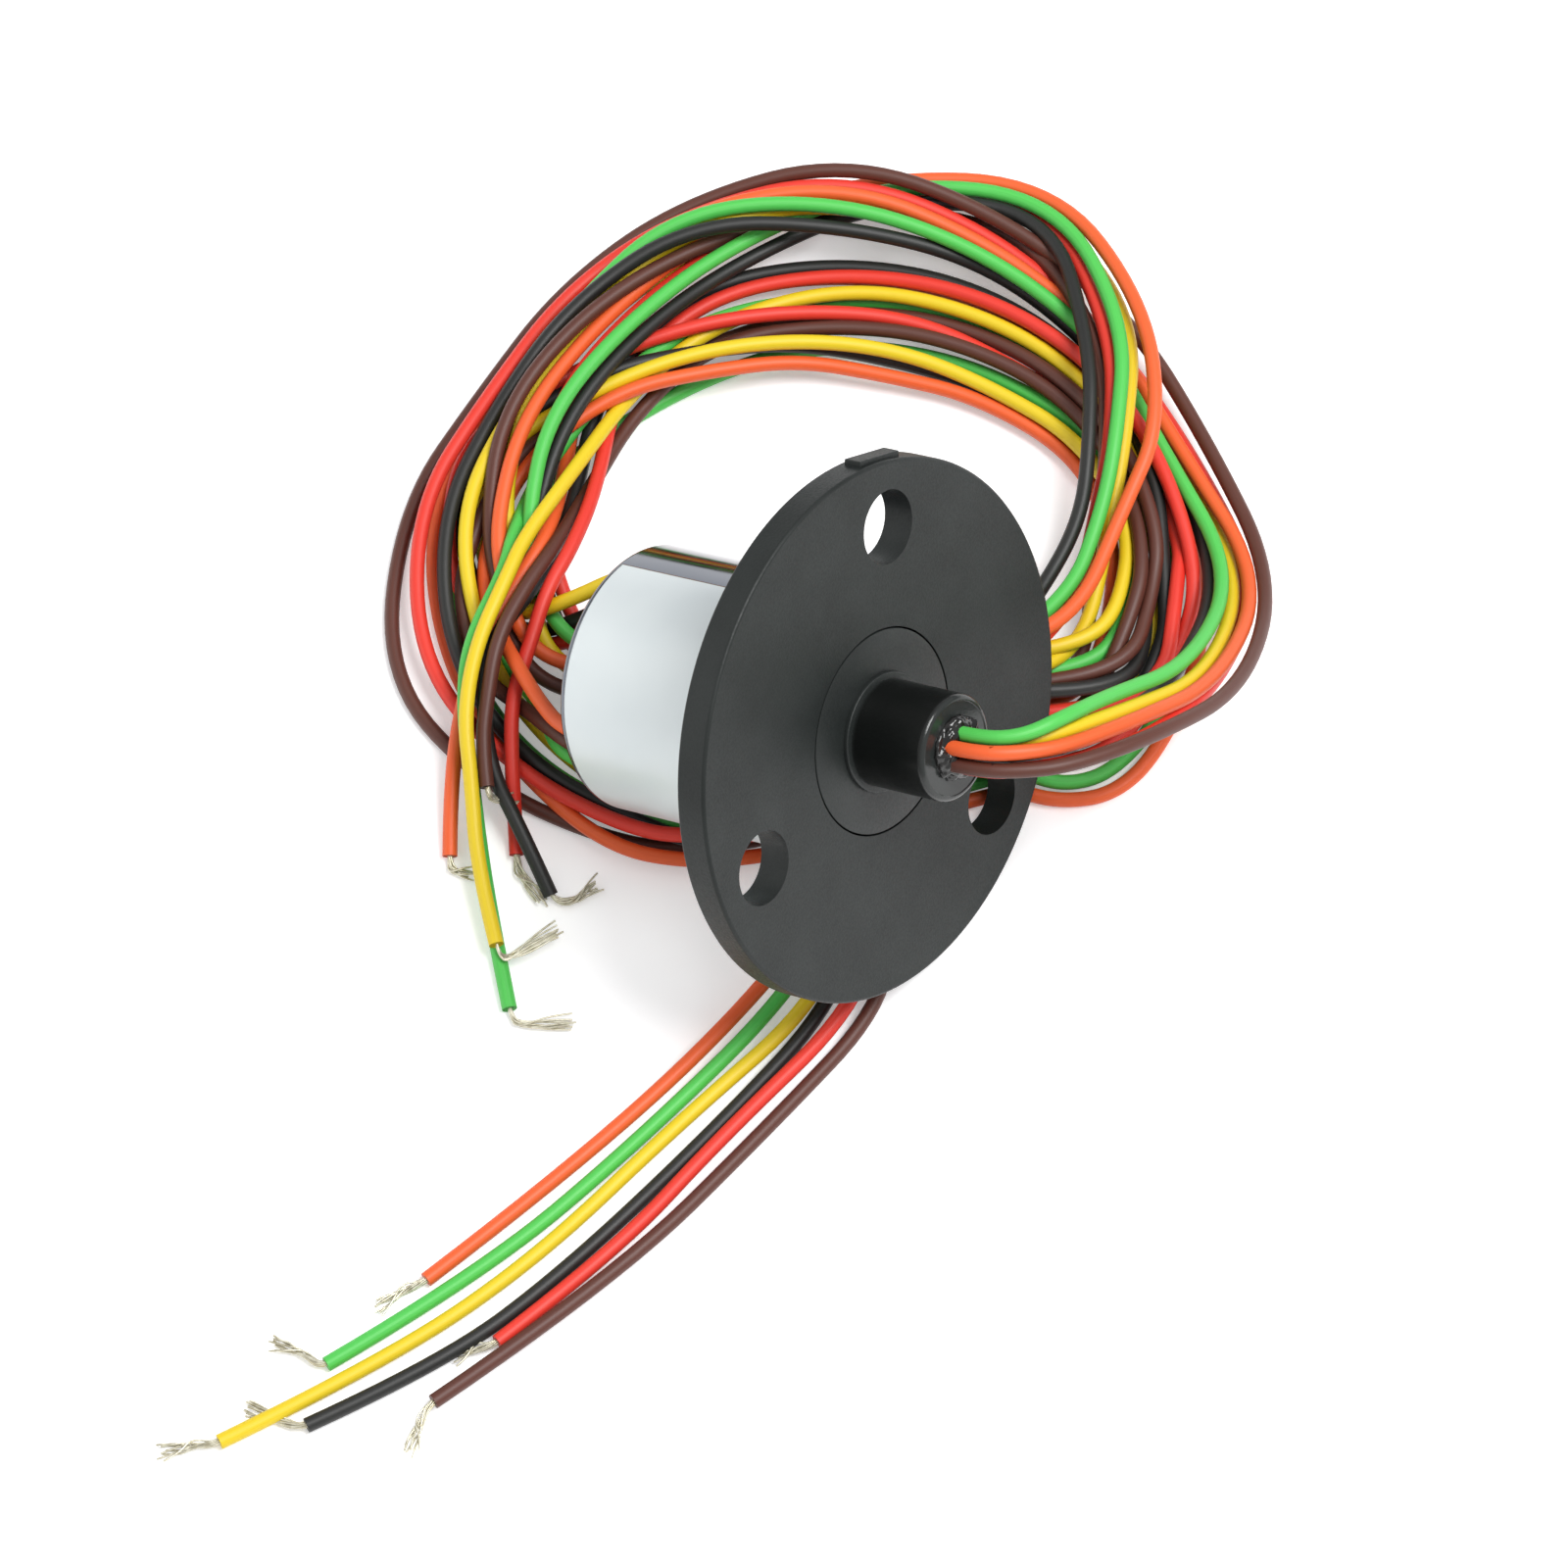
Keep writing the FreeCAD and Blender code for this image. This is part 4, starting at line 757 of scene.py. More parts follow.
# %% Routes of the stator's leads, in the order of their places in the cap
STATOR_ROUTES = {
    "yellow": [
        (-0.0203, 0.0074, 0.0087), (-0.0231, 0.0048, 0.0066), (-0.0263, 0.0025, 0.0044),
        (-0.0291, 0.0035, 0.0009), (-0.0323, 0.0057, 0.00065), (-0.035, 0.0087, 0.0016),
        (-0.0371, 0.0153, 0.0026), (-0.0319, 0.0235, 0.005), (-0.0263, 0.0307, 0.005),
        (-0.0193, 0.0365, 0.0041), (-0.0119, 0.04, 0.003), (-0.0043, 0.041, 0.0023),
        (0.005, 0.0403, 0.0024), (0.0128, 0.0348, 0.0031), (0.0157, 0.0272, 0.0037),
        (0.0149, 0.0229, 0.0042), (0.0092, 0.0179, 0.0045), (0.0051, 0.0156, 0.0022),
        (-0.002, 0.0125, 0.0048), (-0.0085, 0.0099, 0.0027), (-0.0124, 0.0057, 0.0011),
        (-0.0157, 0.0018, 0.0015), (-0.0233, 0.0002, 0.0023), (-0.028, 0.0054, 0.0033),
        (-0.0329, 0.0092, 0.0043), (-0.0365, 0.0186, 0.005), (-0.0353, 0.0304, 0.0039),
        (-0.0313, 0.0431, 0.0016), (-0.0223, 0.0539, 0.00065), (-0.0089, 0.0592, 0.0011),
        (0.0041, 0.0514, 0.0055), (0.009, 0.0405, 0.0058), (0.0112, 0.0339, 0.0036),
        (0.015, 0.0221, 0.0021), (0.0089, 0.0136, 0.0077), (0.0097, 0.0045, 0.0078),
        (0.0092, -0.0044, 0.0058), (0.0113, -0.0147, 0.0014), (0.0066, -0.03, 0.0013),
        (0.0024, -0.0463, 0.001), (-0.0038, -0.0599, 0.0008), (-0.0116, -0.0719, 0.00065),
    ],
    "black": [
        (-0.0193, 0.0069, 0.0069), (-0.0222, 0.0049, 0.0039), (-0.0256, 0.0026, 0.0012),
        (-0.0298, 0.0023, 0.00065), (-0.0331, 0.0043, 0.0012), (-0.0363, 0.0079, 0.0018),
        (-0.0384, 0.0158, 0.0023), (-0.0325, 0.0251, 0.0048), (-0.0264, 0.0315, 0.0037),
        (-0.0202, 0.0366, 0.0025), (-0.0128, 0.0395, 0.0017), (-0.0046, 0.0415, 0.0011),
        (0.0057, 0.0406, 0.00065), (0.0137, 0.0348, 0.00065), (0.019, 0.0264, 0.0021),
        (0.0195, 0.0209, 0.0039), (0.0109, 0.0143, 0.0057), (0.0052, 0.0116, 0.003),
        (-0.0027, 0.0107, 0.0029), (-0.0108, 0.0096, 0.00065), (-0.0145, 0.0048, 0.00065),
        (-0.0181, 0.0028, 0.00065), (-0.0234, 0.0031, 0.00065), (-0.0277, 0.0067, 0.0027),
        (-0.0305, 0.0106, 0.0048), (-0.0324, 0.019, 0.0063), (-0.0315, 0.0293, 0.0056),
        (-0.0282, 0.0409, 0.0029), (-0.0205, 0.0519, 0.0034), (-0.0075, 0.0579, 0.0036),
        (0.0028, 0.0458, 0.0075), (0.0069, 0.0381, 0.0069), (0.0092, 0.0325, 0.0049),
        (0.0093, 0.0258, 0.0035), (0.009, 0.0143, 0.0061), (0.0092, 0.005, 0.0064),
        (0.0094, -0.0041, 0.004), (0.0123, -0.0139, 0.0008), (0.0092, -0.0294, 0.00065),
        (0.0049, -0.0459, 0.00065), (0.0004, -0.0574, 0.00065), (-0.0063, -0.0673, 0.00065),
    ],
    "red": [
        (-0.0183, 0.0067, 0.0051), (-0.0212, 0.004, 0.003), (-0.0249, 0.0017, 0.0009),
        (-0.0286, 0.0008, 0.00065), (-0.0322, 0.0019, 0.0013), (-0.0365, 0.0057, 0.0023),
        (-0.0399, 0.0148, 0.0026), (-0.0353, 0.0246, 0.0028), (-0.0291, 0.032, 0.0044),
        (-0.0218, 0.0387, 0.0035), (-0.0128, 0.0436, 0.0024), (-0.003, 0.044, 0.0018),
        (0.0071, 0.0427, 0.0014), (0.0164, 0.0369, 0.002), (0.019, 0.0312, 0.0037),
        (0.0227, 0.0219, 0.0034), (0.012, 0.014, 0.0028), (0.0053, 0.0115, 0.00065),
        (-0.0029, 0.0116, 0.00065), (-0.0117, 0.0107, 0.00065), (-0.0154, 0.0058, 0.00065),
        (-0.0187, 0.0041, 0.00065), (-0.023, 0.0045, 0.0013), (-0.0271, 0.008, 0.0023),
        (-0.0309, 0.0119, 0.0037), (-0.034, 0.0199, 0.0058), (-0.0333, 0.0302, 0.0049),
        (-0.0302, 0.0423, 0.0024), (-0.0221, 0.0532, 0.0018), (-0.0083, 0.0589, 0.0024),
        (0.0034, 0.0485, 0.0067), (0.0082, 0.0396, 0.0065), (0.0099, 0.0339, 0.0045),
        (0.0125, 0.0255, 0.0031), (0.0107, 0.0135, 0.0085), (0.0109, 0.0048, 0.0082),
        (0.0107, -0.0046, 0.0061), (0.0144, -0.0128, 0.0015), (0.0101, -0.0298, 0.0014),
        (0.0077, -0.0422, 0.001), (0.0033, -0.0537, 0.0008),
    ],
    "orange": [
        (-0.0205, -0.0057, 0.0082), (-0.0246, -0.0028, 0.0066), (-0.0277, -0.0001, 0.0041),
        (-0.031, 0.0029, 0.003), (-0.0332, 0.0071, 0.0029), (-0.0341, 0.0156, 0.0036),
        (-0.0303, 0.024, 0.0051), (-0.0246, 0.03, 0.0042), (-0.0192, 0.0352, 0.0026),
        (-0.0123, 0.0378, 0.002), (-0.0046, 0.0401, 0.0015), (0.0055, 0.0394, 0.0012),
        (0.0125, 0.0333, 0.0009), (0.0161, 0.0237, 0.00065), (0.0152, 0.0182, 0.00065),
        (0.0084, 0.015, 0.0042), (0.0034, 0.0136, 0.0016), (-0.005, 0.0143, 0.0019),
        (-0.012, 0.0094, 0.0019), (-0.0153, 0.0039, 0.0025), (-0.0188, 0.0012, 0.0032),
        (-0.0247, -0.0003, 0.0037), (-0.0295, 0.0036, 0.0049), (-0.0328, 0.0082, 0.0056),
        (-0.0356, 0.0174, 0.0062), (-0.035, 0.0288, 0.0052), (-0.0317, 0.0421, 0.0032),
        (-0.0226, 0.0534, 0.003), (-0.0087, 0.0605, 0.0032), (0.0047, 0.0519, 0.0073),
        (0.0113, 0.0422, 0.0074), (0.012, 0.0348, 0.0058), (0.0136, 0.0231, 0.0056),
        (0.0073, 0.0144, 0.0091), (0.0085, 0.005, 0.0086), (0.0081, -0.0041, 0.0063),
        (0.0071, -0.0147, 0.0016), (0.0022, -0.0348, 0.0012), (-0.0044, -0.0518, 0.00065),
    ],
    "brown": [
        (-0.019, -0.0068, 0.0067), (-0.0224, -0.005, 0.0038), (-0.0269, -0.0039, 0.0026),
        (-0.0306, -0.0009, 0.0022), (-0.0341, 0.0043, 0.0029), (-0.0354, 0.0149, 0.0038),
        (-0.0319, 0.0248, 0.0009), (-0.028, 0.0325, 0.00065), (-0.0218, 0.0397, 0.001),
        (-0.0132, 0.0445, 0.0014), (-0.0033, 0.0456, 0.0021), (0.0076, 0.0419, 0.0041),
        (0.0152, 0.0351, 0.0044), (0.0173, 0.0301, 0.0031), (0.0193, 0.0226, 0.0042),
        (0.0104, 0.0152, 0.0044), (0.0063, 0.0103, 0.0017), (-0.0017, 0.01, 0.0012),
        (-0.0087, 0.0083, 0.00065), (-0.0126, 0.0031, 0.0012), (-0.0165, -0.0002, 0.0023),
        (-0.0242, -0.0019, 0.0023), (-0.0294, 0.0032, 0.0035), (-0.0335, 0.0077, 0.0044),
        (-0.0375, 0.0173, 0.0062), (-0.0359, 0.0296, 0.0064), (-0.0304, 0.0418, 0.0044),
        (-0.0214, 0.0519, 0.0017), (-0.0083, 0.0558, 0.002), (0.003, 0.0477, 0.0058),
        (0.0083, 0.0388, 0.0049), (0.0107, 0.0324, 0.0022), (0.0157, 0.0212, 0.00065),
        (0.0118, 0.0135, 0.0052), (0.0119, 0.0044, 0.0055), (0.0112, -0.0053, 0.0035),
        (0.0159, -0.0116, 0.00065), (0.013, -0.0263, 0.0008), (0.0088, -0.0445, 0.0011),
        (0.0016, -0.0608, 0.0013),
    ],
    "green": [
        (-0.0181, -0.0073, 0.0049), (-0.021, -0.0041, 0.003), (-0.0246, -0.0021, 0.0017),
        (-0.0278, -0.0003, 0.0021), (-0.031, 0.0047, 0.0022), (-0.0328, 0.0157, 0.00065),
        (-0.0293, 0.0243, 0.00065), (-0.0253, 0.0312, 0.0008), (-0.02, 0.0375, 0.00065),
        (-0.0122, 0.0414, 0.0009), (-0.0034, 0.0429, 0.0012), (0.0066, 0.0414, 0.0016),
        (0.0134, 0.0351, 0.0022), (0.0166, 0.0268, 0.0023), (0.0159, 0.0219, 0.0024),
        (0.0089, 0.0164, 0.0029), (0.0045, 0.0127, 0.00065), (-0.0035, 0.0124, 0.0028),
        (-0.012, 0.0109, 0.0033), (-0.0154, 0.0052, 0.0035), (-0.0185, 0.003, 0.0034),
        (-0.0231, 0.0024, 0.0036), (-0.0275, 0.0054, 0.0043), (-0.0307, 0.0098, 0.0059),
        (-0.0335, 0.0182, 0.0072), (-0.0325, 0.0288, 0.0067), (-0.0291, 0.0413, 0.0046),
        (-0.0211, 0.0533, 0.0036), (-0.0077, 0.0591, 0.0038), (0.0043, 0.0492, 0.0078),
        (0.0088, 0.0392, 0.0076), (0.0106, 0.0334, 0.0056), (0.012, 0.0253, 0.005),
        (0.0077, 0.0135, 0.0074), (0.0082, 0.0048, 0.0074), (0.0082, -0.0041, 0.0047),
        (0.009, -0.0146, 0.0013), (0.0044, -0.0333, 0.001), (-0.0008, -0.0493, 0.0008),
        (-0.0076, -0.062, 0.00065),
    ],
}

# %% [markdown]
# The insulation is smooth and softly glossy. Along its length the colour drifts a little, and handling
# leaves fine marks that dull the gloss, so the pattern follows the lead's own map: across it one way, along
# it the other.

# %% Insulation
LEAD_DIAMETER = 1.25
LEAD_SIDES = 6
INSULATION_WALL = 0.3
HOLLOW_DEPTH = 0.5
SMOOTHNESS = 10
LEAD_LENGTH = 365
ALONG_LEAD = (1, LEAD_LENGTH / 6, 1)
CAP_CORNERS = 8
INSULATION = {
    "yellow": ((216, 186, 18), (226, 199, 30)),
    "green": ((66, 178, 68), (84, 196, 86)),
    "black": ((22, 23, 22), (33, 34, 32)),
    "red": ((212, 44, 32), (224, 58, 42)),
    "brown": ((76, 39, 29), (92, 49, 37)),
    "orange": ((222, 84, 32), (231, 99, 45)),
}


def insulation(colour):
    """Smooth insulation, with its pattern drawn out along the lead."""
    dark, pale = (srgb(*shade) for shade in INSULATION[colour])
    material, nodes, links, shader = new_material(f"insulation_{colour}", dark, 0.5)
    drift = noise(nodes, links, 1.2, 3, ALONG_LEAD, "UV")
    marks = noise(nodes, links, 14, 4, ALONG_LEAD, "UV")
    tinted(nodes, links, shader, drift, dark, pale)
    dulled(nodes, links, shader, marks, (0.44, 0.56))
    bump(nodes, links, shader, marks, 0.15, 0.00002)
    return material


finishes = {colour: insulation(colour) for colour in INSULATION}
print("insulation in", len(finishes), "colours")

# %% Lay the leads
LEAD_CIRCLE = 1.45
LEAD_START = 3.0
TAIL_START = 2.8
TAIL_SIDE = 8.0
TAIL_PITCH = 2.4
turns = [math.radians(30 + 60 * i) for i in range(6)]
shaft_places = [(LEAD_CIRCLE * math.sin(turn), LEAD_CIRCLE * math.cos(turn)) for turn in turns]
cap_places = [(side * TAIL_SIDE, row * TAIL_PITCH) for side in (1, -1) for row in (1, 0, -1)]


def smooth_line(name, points):
    """A NURBS curve with the route's points as its control points, and the places along its line."""
    curve = bpy.data.curves.new(name, "CURVE")
    curve.dimensions = "3D"
    spline = curve.splines.new("NURBS")
    spline.points.add(len(points) - 1)
    for control, point in zip(spline.points, points):
        control.co = (*point, 1)
    spline.order_u = 3
    spline.use_endpoint_u = True
    spline.resolution_u = SMOOTHNESS
    line = bpy.data.objects.new(name, curve)
    bpy.context.collection.objects.link(line)
    places = [vertex.co.copy() for vertex in bpy.data.meshes.new_from_object(line).vertices]
    return line, places


def hollow_end(lead, end, ahead):
    """Cuts back the core at the stripped end, so that a thin wall of insulation stands around it."""
    bpy.ops.object.mode_set(mode="EDIT")
    bpy.ops.mesh.select_mode(type="FACE")
    all_selected("DESELECT")
    mesh = bmesh.from_edit_mesh(lead.data)
    near = LEAD_DIAMETER * MM
    for face in mesh.faces:
        at_end = all((vertex.co - end).length < near for vertex in face.verts)
        face.select = len(face.verts) > CAP_CORNERS and at_end
    bmesh.update_edit_mesh(lead.data)
    bpy.ops.mesh.inset(thickness=INSULATION_WALL * MM, depth=0)
    bpy.ops.mesh.extrude_region_move(TRANSFORM_OT_translate={"value": -HOLLOW_DEPTH * MM * ahead})
    bpy.ops.object.mode_set(mode="OBJECT")


def lay_lead(name, points, colour):
    """One lead as a round tube along its smooth line, with a hollow end where the insulation is stripped."""
    line, places = smooth_line(name, points)
    line.data.bevel_depth = LEAD_DIAMETER / 2 * MM
    line.data.bevel_resolution = LEAD_SIDES
    line.data.use_fill_caps = True
    only(line)
    bpy.ops.object.convert(target="MESH")
    lead = bpy.context.object
    bpy.ops.object.shade_smooth_by_angle(angle=math.radians(50))
    lead.data.materials.append(finishes[colour])
    hollow_end(lead, places[-1], (places[-1] - places[-2]).normalized())
    length = sum((b - a).length for a, b in zip(places, places[1:]))
    return lead, places, length


# %% [markdown]
# ## Bare strands
# Each lead ends in about five millimetres of bare tinned copper: a flat, slightly twisted tuft of hair-thin
# strands. Every strand is its own little curve that starts inside the hollow end, and one strays away from
# the rest.

# %% Where each tuft bends and where it ends, in metres
STRANDS = {
    "rotor": {
        "green": ((-0.0093, -0.0287, 0.0005), (-0.0054, -0.0265, 0.0004)),
        "yellow": ((-0.0129, -0.0248, 0.0018), (-0.0104, -0.0202, 0.0014)),
        "black": ((-0.011, -0.0169, 0.0005), (-0.0099, -0.0145, 0.0004)),
        "red": ((-0.0159, -0.0169, 0.0005), (-0.0132, -0.0182, 0.0004)),
        "brown": ((-0.0205, -0.0133, 0.0035), (-0.019, -0.0122, 0.0026)),
        "orange": ((-0.0209, -0.0194, 0.0005), (-0.0193, -0.0188, 0.0004)),
    },
    "stator": {
        "yellow": ((-0.0133, -0.0732, 0.0005), (-0.0153, -0.0748, 0.0004)),
        "black": ((-0.0084, -0.0679, 0.0005), (-0.0111, -0.0681, 0.0004)),
        "red": ((0.0021, -0.055, 0.0006), (0.0007, -0.0564, 0.0005)),
        "orange": ((-0.0055, -0.0534, 0.0005), (-0.0068, -0.0558, 0.0004)),
        "brown": ((0.0016, -0.0627, 0.001), (0.0019, -0.0653, 0.0008)),
        "green": ((-0.0098, -0.0621, 0.0005), (-0.0124, -0.0623, 0.0004)),
    },
}
STRAND_COUNT = 8
STRAND_DIAMETER = 0.18
TUFT_WIDTH = 0.9
TUFT_TWIST = 3.0
TUFT_FLATNESS = 0.4
STRAY = 2.2
WANDER = 0.12

strand_finish, nodes, links, shader = new_material("tinned_strands", srgb(200, 196, 174), 0.38, 0.75)
tarnish = noise(nodes, links, 1500, 3.0)
tinted(nodes, links, shader, tarnish, srgb(186, 179, 152), srgb(232, 229, 212))
dulled(nodes, links, shader, tarnish, (0.28, 0.5))


def bare_strands(name, places, bend, tip):
    """A tuft of thin strands from inside the lead's end, past the bend, to the tip."""
    chance = random.Random(name)
    end = places[-1]
    ahead = (end - places[-2]).normalized()
    bend, tip = Vector(bend), Vector(tip)
    along = (tip - end).normalized()
    side = along.cross(Vector((0, 0, 1))).normalized()
    lift = side.cross(along)
    curve = bpy.data.curves.new(name, "CURVE")
    curve.dimensions = "3D"
    for i in range(STRAND_COUNT):
        turn = 2 * math.pi * i / STRAND_COUNT
        stray = STRAY if i == STRAND_COUNT - 1 else 1.0
        width = TUFT_WIDTH / 2 * MM * stray
        points = []
        for place, share, angle in ((end - 0.7 * MM * ahead, 0.22, 0), (end + 0.5 * MM * ahead, 0.24, 0.4)):
            round_it = math.cos(turn + angle) * side + math.sin(turn + angle) * lift
            points.append(place + share * MM * round_it)
        for place, share, angle in (
            (bend, 0.6, TUFT_TWIST / 2),
            ((bend + tip) / 2, 1.0, TUFT_TWIST),
            (tip, 1.1, TUFT_TWIST + 0.4),
        ):
            wander = Vector([chance.uniform(-WANDER, WANDER) * MM for _ in range(3)])
            across = math.cos(turn + angle) * side + TUFT_FLATNESS * math.sin(turn + angle) * lift
            points.append(place + share * width * across + wander)
        points[-1] = points[-1] + chance.uniform(-0.5, 0.4) * MM * along
        spline = curve.splines.new("NURBS")
        spline.points.add(len(points) - 1)
        for control, point in zip(spline.points, points):
            control.co = (point.x, point.y, max(point.z, STRAND_DIAMETER * MM), 1)
        spline.order_u = 3
        spline.use_endpoint_u = True
    curve.resolution_u = 6
    curve.bevel_depth = STRAND_DIAMETER / 2 * MM
    curve.bevel_resolution = 1
    curve.use_fill_caps = True
    tuft = bpy.data.objects.new(name, curve)
    bpy.context.collection.objects.link(tuft)
    only(tuft)
    bpy.ops.object.convert(target="MESH")
    tuft = bpy.context.object
    bpy.ops.object.shade_smooth()
    tuft.data.materials.append(strand_finish)
    return tuft


# %% [markdown]
# The straight root of each rotor lead, up to about four millimetres in front of the shaft, is parted off as
# its own piece, and the cut ends of both pieces are closed. The rest of the lead belongs to the stator and
# stays where it lies.

# %% Roots parted from the rotor's leads
ROOT_END = 11.7
ROOT_REACH = 4.0


def close_end(piece):
    """Fills the open end of a tube with one face."""
    only(piece)
    bpy.ops.object.mode_set(mode="EDIT")
    bpy.ops.mesh.select_mode(type="EDGE")
    all_selected("DESELECT")
    bpy.ops.mesh.select_non_manifold()
    bpy.ops.mesh.edge_face_add()
    bpy.ops.object.mode_set(mode="OBJECT")
    smooth(piece, 50)


def part_root(lead, name):
    """Parts the straight root from a rotor lead and returns it."""
    only(lead)
    bpy.ops.object.mode_set(mode="EDIT")
    bpy.ops.mesh.select_mode(type="FACE")
    all_selected("DESELECT")
    mesh = bmesh.from_edit_mesh(lead.data)
    for face in mesh.faces:
        away = face.calc_center_median() - FRONT
        out = away.dot(AXIS)
        face.select = 0 < out < ROOT_END * MM and (away - out * AXIS).length < ROOT_REACH * MM
    bmesh.update_edit_mesh(lead.data)
    bpy.ops.mesh.separate(type="SELECTED")
    bpy.ops.object.mode_set(mode="OBJECT")
    root = next(piece for piece in bpy.context.selected_objects if piece != lead)
    root.name = name
    close_end(root)
    close_end(lead)
    return root


# %% Lay every lead and its strands
starts = {
    "rotor": [(x, y, SHAFT_REACH, SHAFT_REACH + LEAD_START) for x, y in shaft_places],
    "stator": [(x, y, HOUSING_REAR, HOUSING_REAR - TAIL_START) for x, y in cap_places],
}
for kind, routes in (("rotor", ROTOR_ROUTES), ("stator", STATOR_ROUTES)):
    for (colour, route), (x, y, z, ahead) in zip(routes.items(), starts[kind]):
        name = f"{kind}_{colour}_wire"
        lead, places, length = lay_lead(name, [at_rest(x, y, z), at_rest(x, y, ahead), *route], colour)
        if kind == "rotor":
            root = part_root(lead, f"rotor_{colour}_root")
            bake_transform(root)
        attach(lead, "stator")
        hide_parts(f"{kind}_lead_{colour}")
        strands = bare_strands(f"{kind}_{colour}_strands", places, *STRANDS[kind][colour])
        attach(strands, "stator")
        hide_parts(f"{kind}_strands_{colour}")
        print(name, round(length * 1000), "mm")

# %% [markdown]
# ## Glue at the end of the shaft
# Where the leads leave the shaft, the mouth is sealed with black glue. It was dabbed on, so it is lumpy and
# glossy. A sphere is flattened and pushed about by two sizes of clouds, which gives big lumps with small
# dents on them.

# %% Glue
GLUE_WIDTH = 2.7
GLUE_HEIGHT = 1.25
GLUE_LUMPS = ((1.1, 0.9), (0.45, 0.3))
GLUE_OFFSET = 0.1
deselect()
bpy.ops.mesh.primitive_uv_sphere_add(segments=96, ring_count=64, radius=1, location=(0, 0, 0))
glue = bpy.context.object
glue.name = "front_glue_blob"
bpy.ops.object.mode_set(mode="EDIT")
all_selected()
bpy.ops.transform.resize(value=(GLUE_WIDTH, GLUE_WIDTH, GLUE_HEIGHT))
bpy.ops.object.mode_set(mode="OBJECT")
for size, strength in GLUE_LUMPS:
    lumps = bpy.data.textures.new("glue_lumps", "CLOUDS")
    lumps.noise_scale = size
    apply_modifier(glue, "DISPLACE", texture=lumps, strength=strength, mid_level=0.5, texture_coords="LOCAL")
shifted((GLUE_OFFSET, 0, SHAFT_REACH - GLUE_OFFSET))
smooth(glue, 60)


def black_resin(name, roughest):
    """Cast resin with a lively surface: wet-looking where it is smoothest."""
    material, nodes, links, shader = new_material(name, srgb(20, 20, 20), roughest / 2)
    cloud = noise(nodes, links, 700, 4.0)
    dulled(nodes, links, shader, cloud, (roughest - 0.2, roughest))
    tinted(nodes, links, shader, cloud, srgb(14, 14, 14), srgb(34, 34, 33))
    bump(nodes, links, shader, cloud, 0.35, 0.00005)
    return material


lay_down(glue, black_resin("glossy_resin", 0.26), "black_resin", "rotor", "front_glue")

# %% [markdown]
# ## Resin at the rear
# The rear of the barrel is sealed with resin. While it was liquid it crept up the metal wall and up each
# lead, so its edge is raised all round, and every lead stands in a small cone.

# %% Rear resin
RESIN_RADIUS = 10.27
RESIN_FACE = -24.7
LEAD_HOLE = 0.64
resin = turned(
    "rear_resin",
    [
        (0.05, HOUSING_REAR),
        (RESIN_RADIUS, HOUSING_REAR),
        (RESIN_RADIUS, RESIN_FACE - 0.08),
        (RESIN_RADIUS - 0.15, RESIN_FACE - 0.04),
        (RESIN_RADIUS - 0.5, RESIN_FACE - 0.01),
        (RESIN_RADIUS - 1, RESIN_FACE),
        (0.05, RESIN_FACE),
    ],
    96,
)
cones = []
for side in (1, -1):
    for row in (1, 0, -1):
        cone = turned(
            f"cone_{side}_{row}",
            [
                (LEAD_HOLE, RESIN_FACE + 0.1),
                (1.3, RESIN_FACE + 0.1),
                (1.3, RESIN_FACE - 0.005),
                (0.98, RESIN_FACE - 0.06),
                (0.78, RESIN_FACE - 0.2),
                (LEAD_HOLE, RESIN_FACE - 0.42),
            ],
            32,
        )
        shifted((side * TAIL_SIDE, row * TAIL_PITCH, 0))
        cones.append(cone)
deselect()
for cone in cones:
    cone.select_set(True)
resin.select_set(True)
bpy.context.view_layer.objects.active = resin
bpy.ops.object.join()
smooth(resin, 60)
lay_down(resin, black_resin("dull_resin", 0.5), "black_resin", "stator", "rear_potting")

# %% [markdown]
# ## Inside the barrel
# The bearings, contact rings, brushes and boards are hidden once the capsule is closed. Their solids
# already have the right shape, so they stay and only get finishes: turned metal with fine lines, gold, dark
# plastic and green laminate.

# %% Finishes for the inside
def turned_metal(name, dark, pale, roughness):
    """Ground or plated metal, with fine lines around the axis and a slight tarnish."""
    material, nodes, links, shader = new_material(name, dark, sum(roughness) / 2, 1.0)
    tarnish = noise(nodes, links, 500, 3.0)
    lines = noise(nodes, links, 60, 2.0, (80, 2, 80))
    tinted(nodes, links, shader, tarnish, dark, pale)
    dulled(nodes, links, shader, lines, roughness)
    bump(nodes, links, shader, lines, 0.2, 0.000005)
    return material


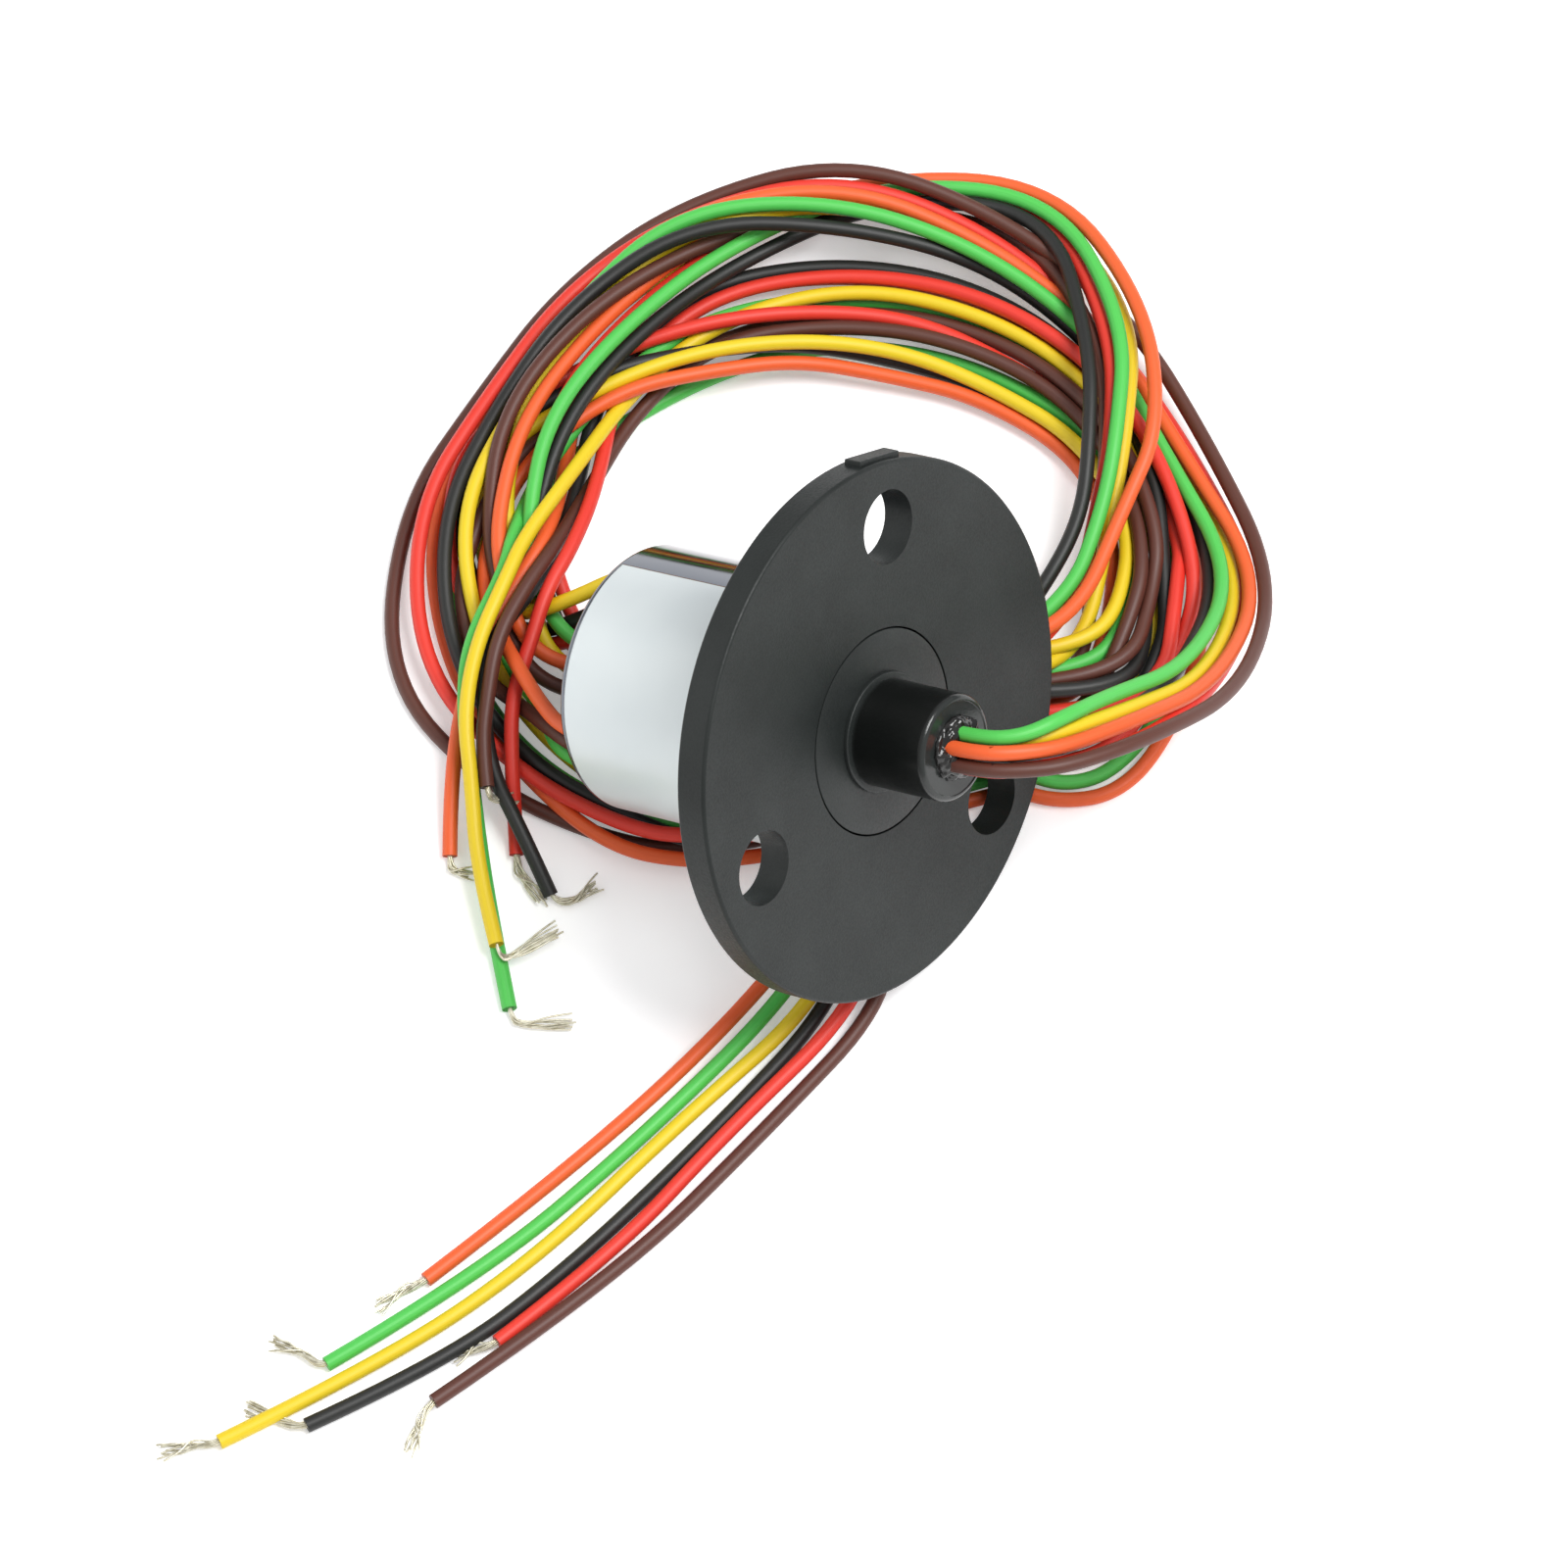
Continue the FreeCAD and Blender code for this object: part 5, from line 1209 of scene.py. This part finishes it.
def laminate():
    """Green circuit board, with faint streaks both ways for its glass cloth."""
    material, nodes, links, shader = new_material("green_laminate", srgb(30, 80, 50), 0.3)
    along = noise(nodes, links, 90, 2.0, (60, 4, 4))
    across = noise(nodes, links, 90, 2.0, (4, 60, 60))
    tinted(nodes, links, shader, along, srgb(24, 70, 44), srgb(38, 92, 58))
    dulled(nodes, links, shader, across, (0.25, 0.4))
    bump(nodes, links, shader, across, 0.3, 0.00001)
    return material


def wire_skin():
    """Soft red insulation of the inner wires, dulled in places by handling."""
    material, nodes, links, shader = new_material("inner_wire_skin", srgb(150, 60, 45), 0.4)
    marks = noise(nodes, links, 800, 4.0)
    tinted(nodes, links, shader, marks, srgb(140, 52, 38), srgb(164, 72, 56))
    dulled(nodes, links, shader, marks, (0.34, 0.5))
    return material


BARRIER = (srgb(32, 42, 56), srgb(42, 52, 68))
CAP = (srgb(36, 38, 38), srgb(46, 48, 48))
INSIDE = {
    "bearing": turned_metal("bearing_steel", srgb(180, 183, 186), srgb(204, 207, 210), (0.12, 0.24)),
    "cage": turned_metal("cage_brass", srgb(168, 138, 78), srgb(192, 162, 102), (0.28, 0.42)),
    "ring": turned_metal("ring_gold", srgb(204, 166, 86), srgb(222, 186, 108), (0.14, 0.26)),
    "brush": turned_metal("brush_gold", srgb(196, 160, 84), srgb(214, 180, 104), (0.2, 0.32)),
    "board": laminate(),
    "wires": wire_skin(),
    "barrier": moulded_plastic("barrier_plastic", *BARRIER, (0.4, 0.55), 4000, 0.00001),
    "cap": moulded_plastic("cap_plastic", *CAP, (0.42, 0.56), 4200, 0.00001),
}
KINDS = (
    ("cage", "cage"),
    ("bearing", "bearing"),
    ("barrier", "barrier"),
    ("slip_ring", "ring"),
    ("brush_pair", "brush"),
    ("brush_board", "board"),
    ("inner_wires", "wires"),
    ("rear_cap", "cap"),
)
shown = [name for name in frame["nodes"] if any(word in name for word, kind in KINDS)]
for name in shown:
    kind = next(kind for word, kind in KINDS if word in name)
    node = frame["nodes"][name]
    for place in node.material_slots:
        place.material = INSIDE[kind]
    if not node.material_slots:
        node.data.materials.append(INSIDE[kind])
print(len(shown), "inner nodes finished")
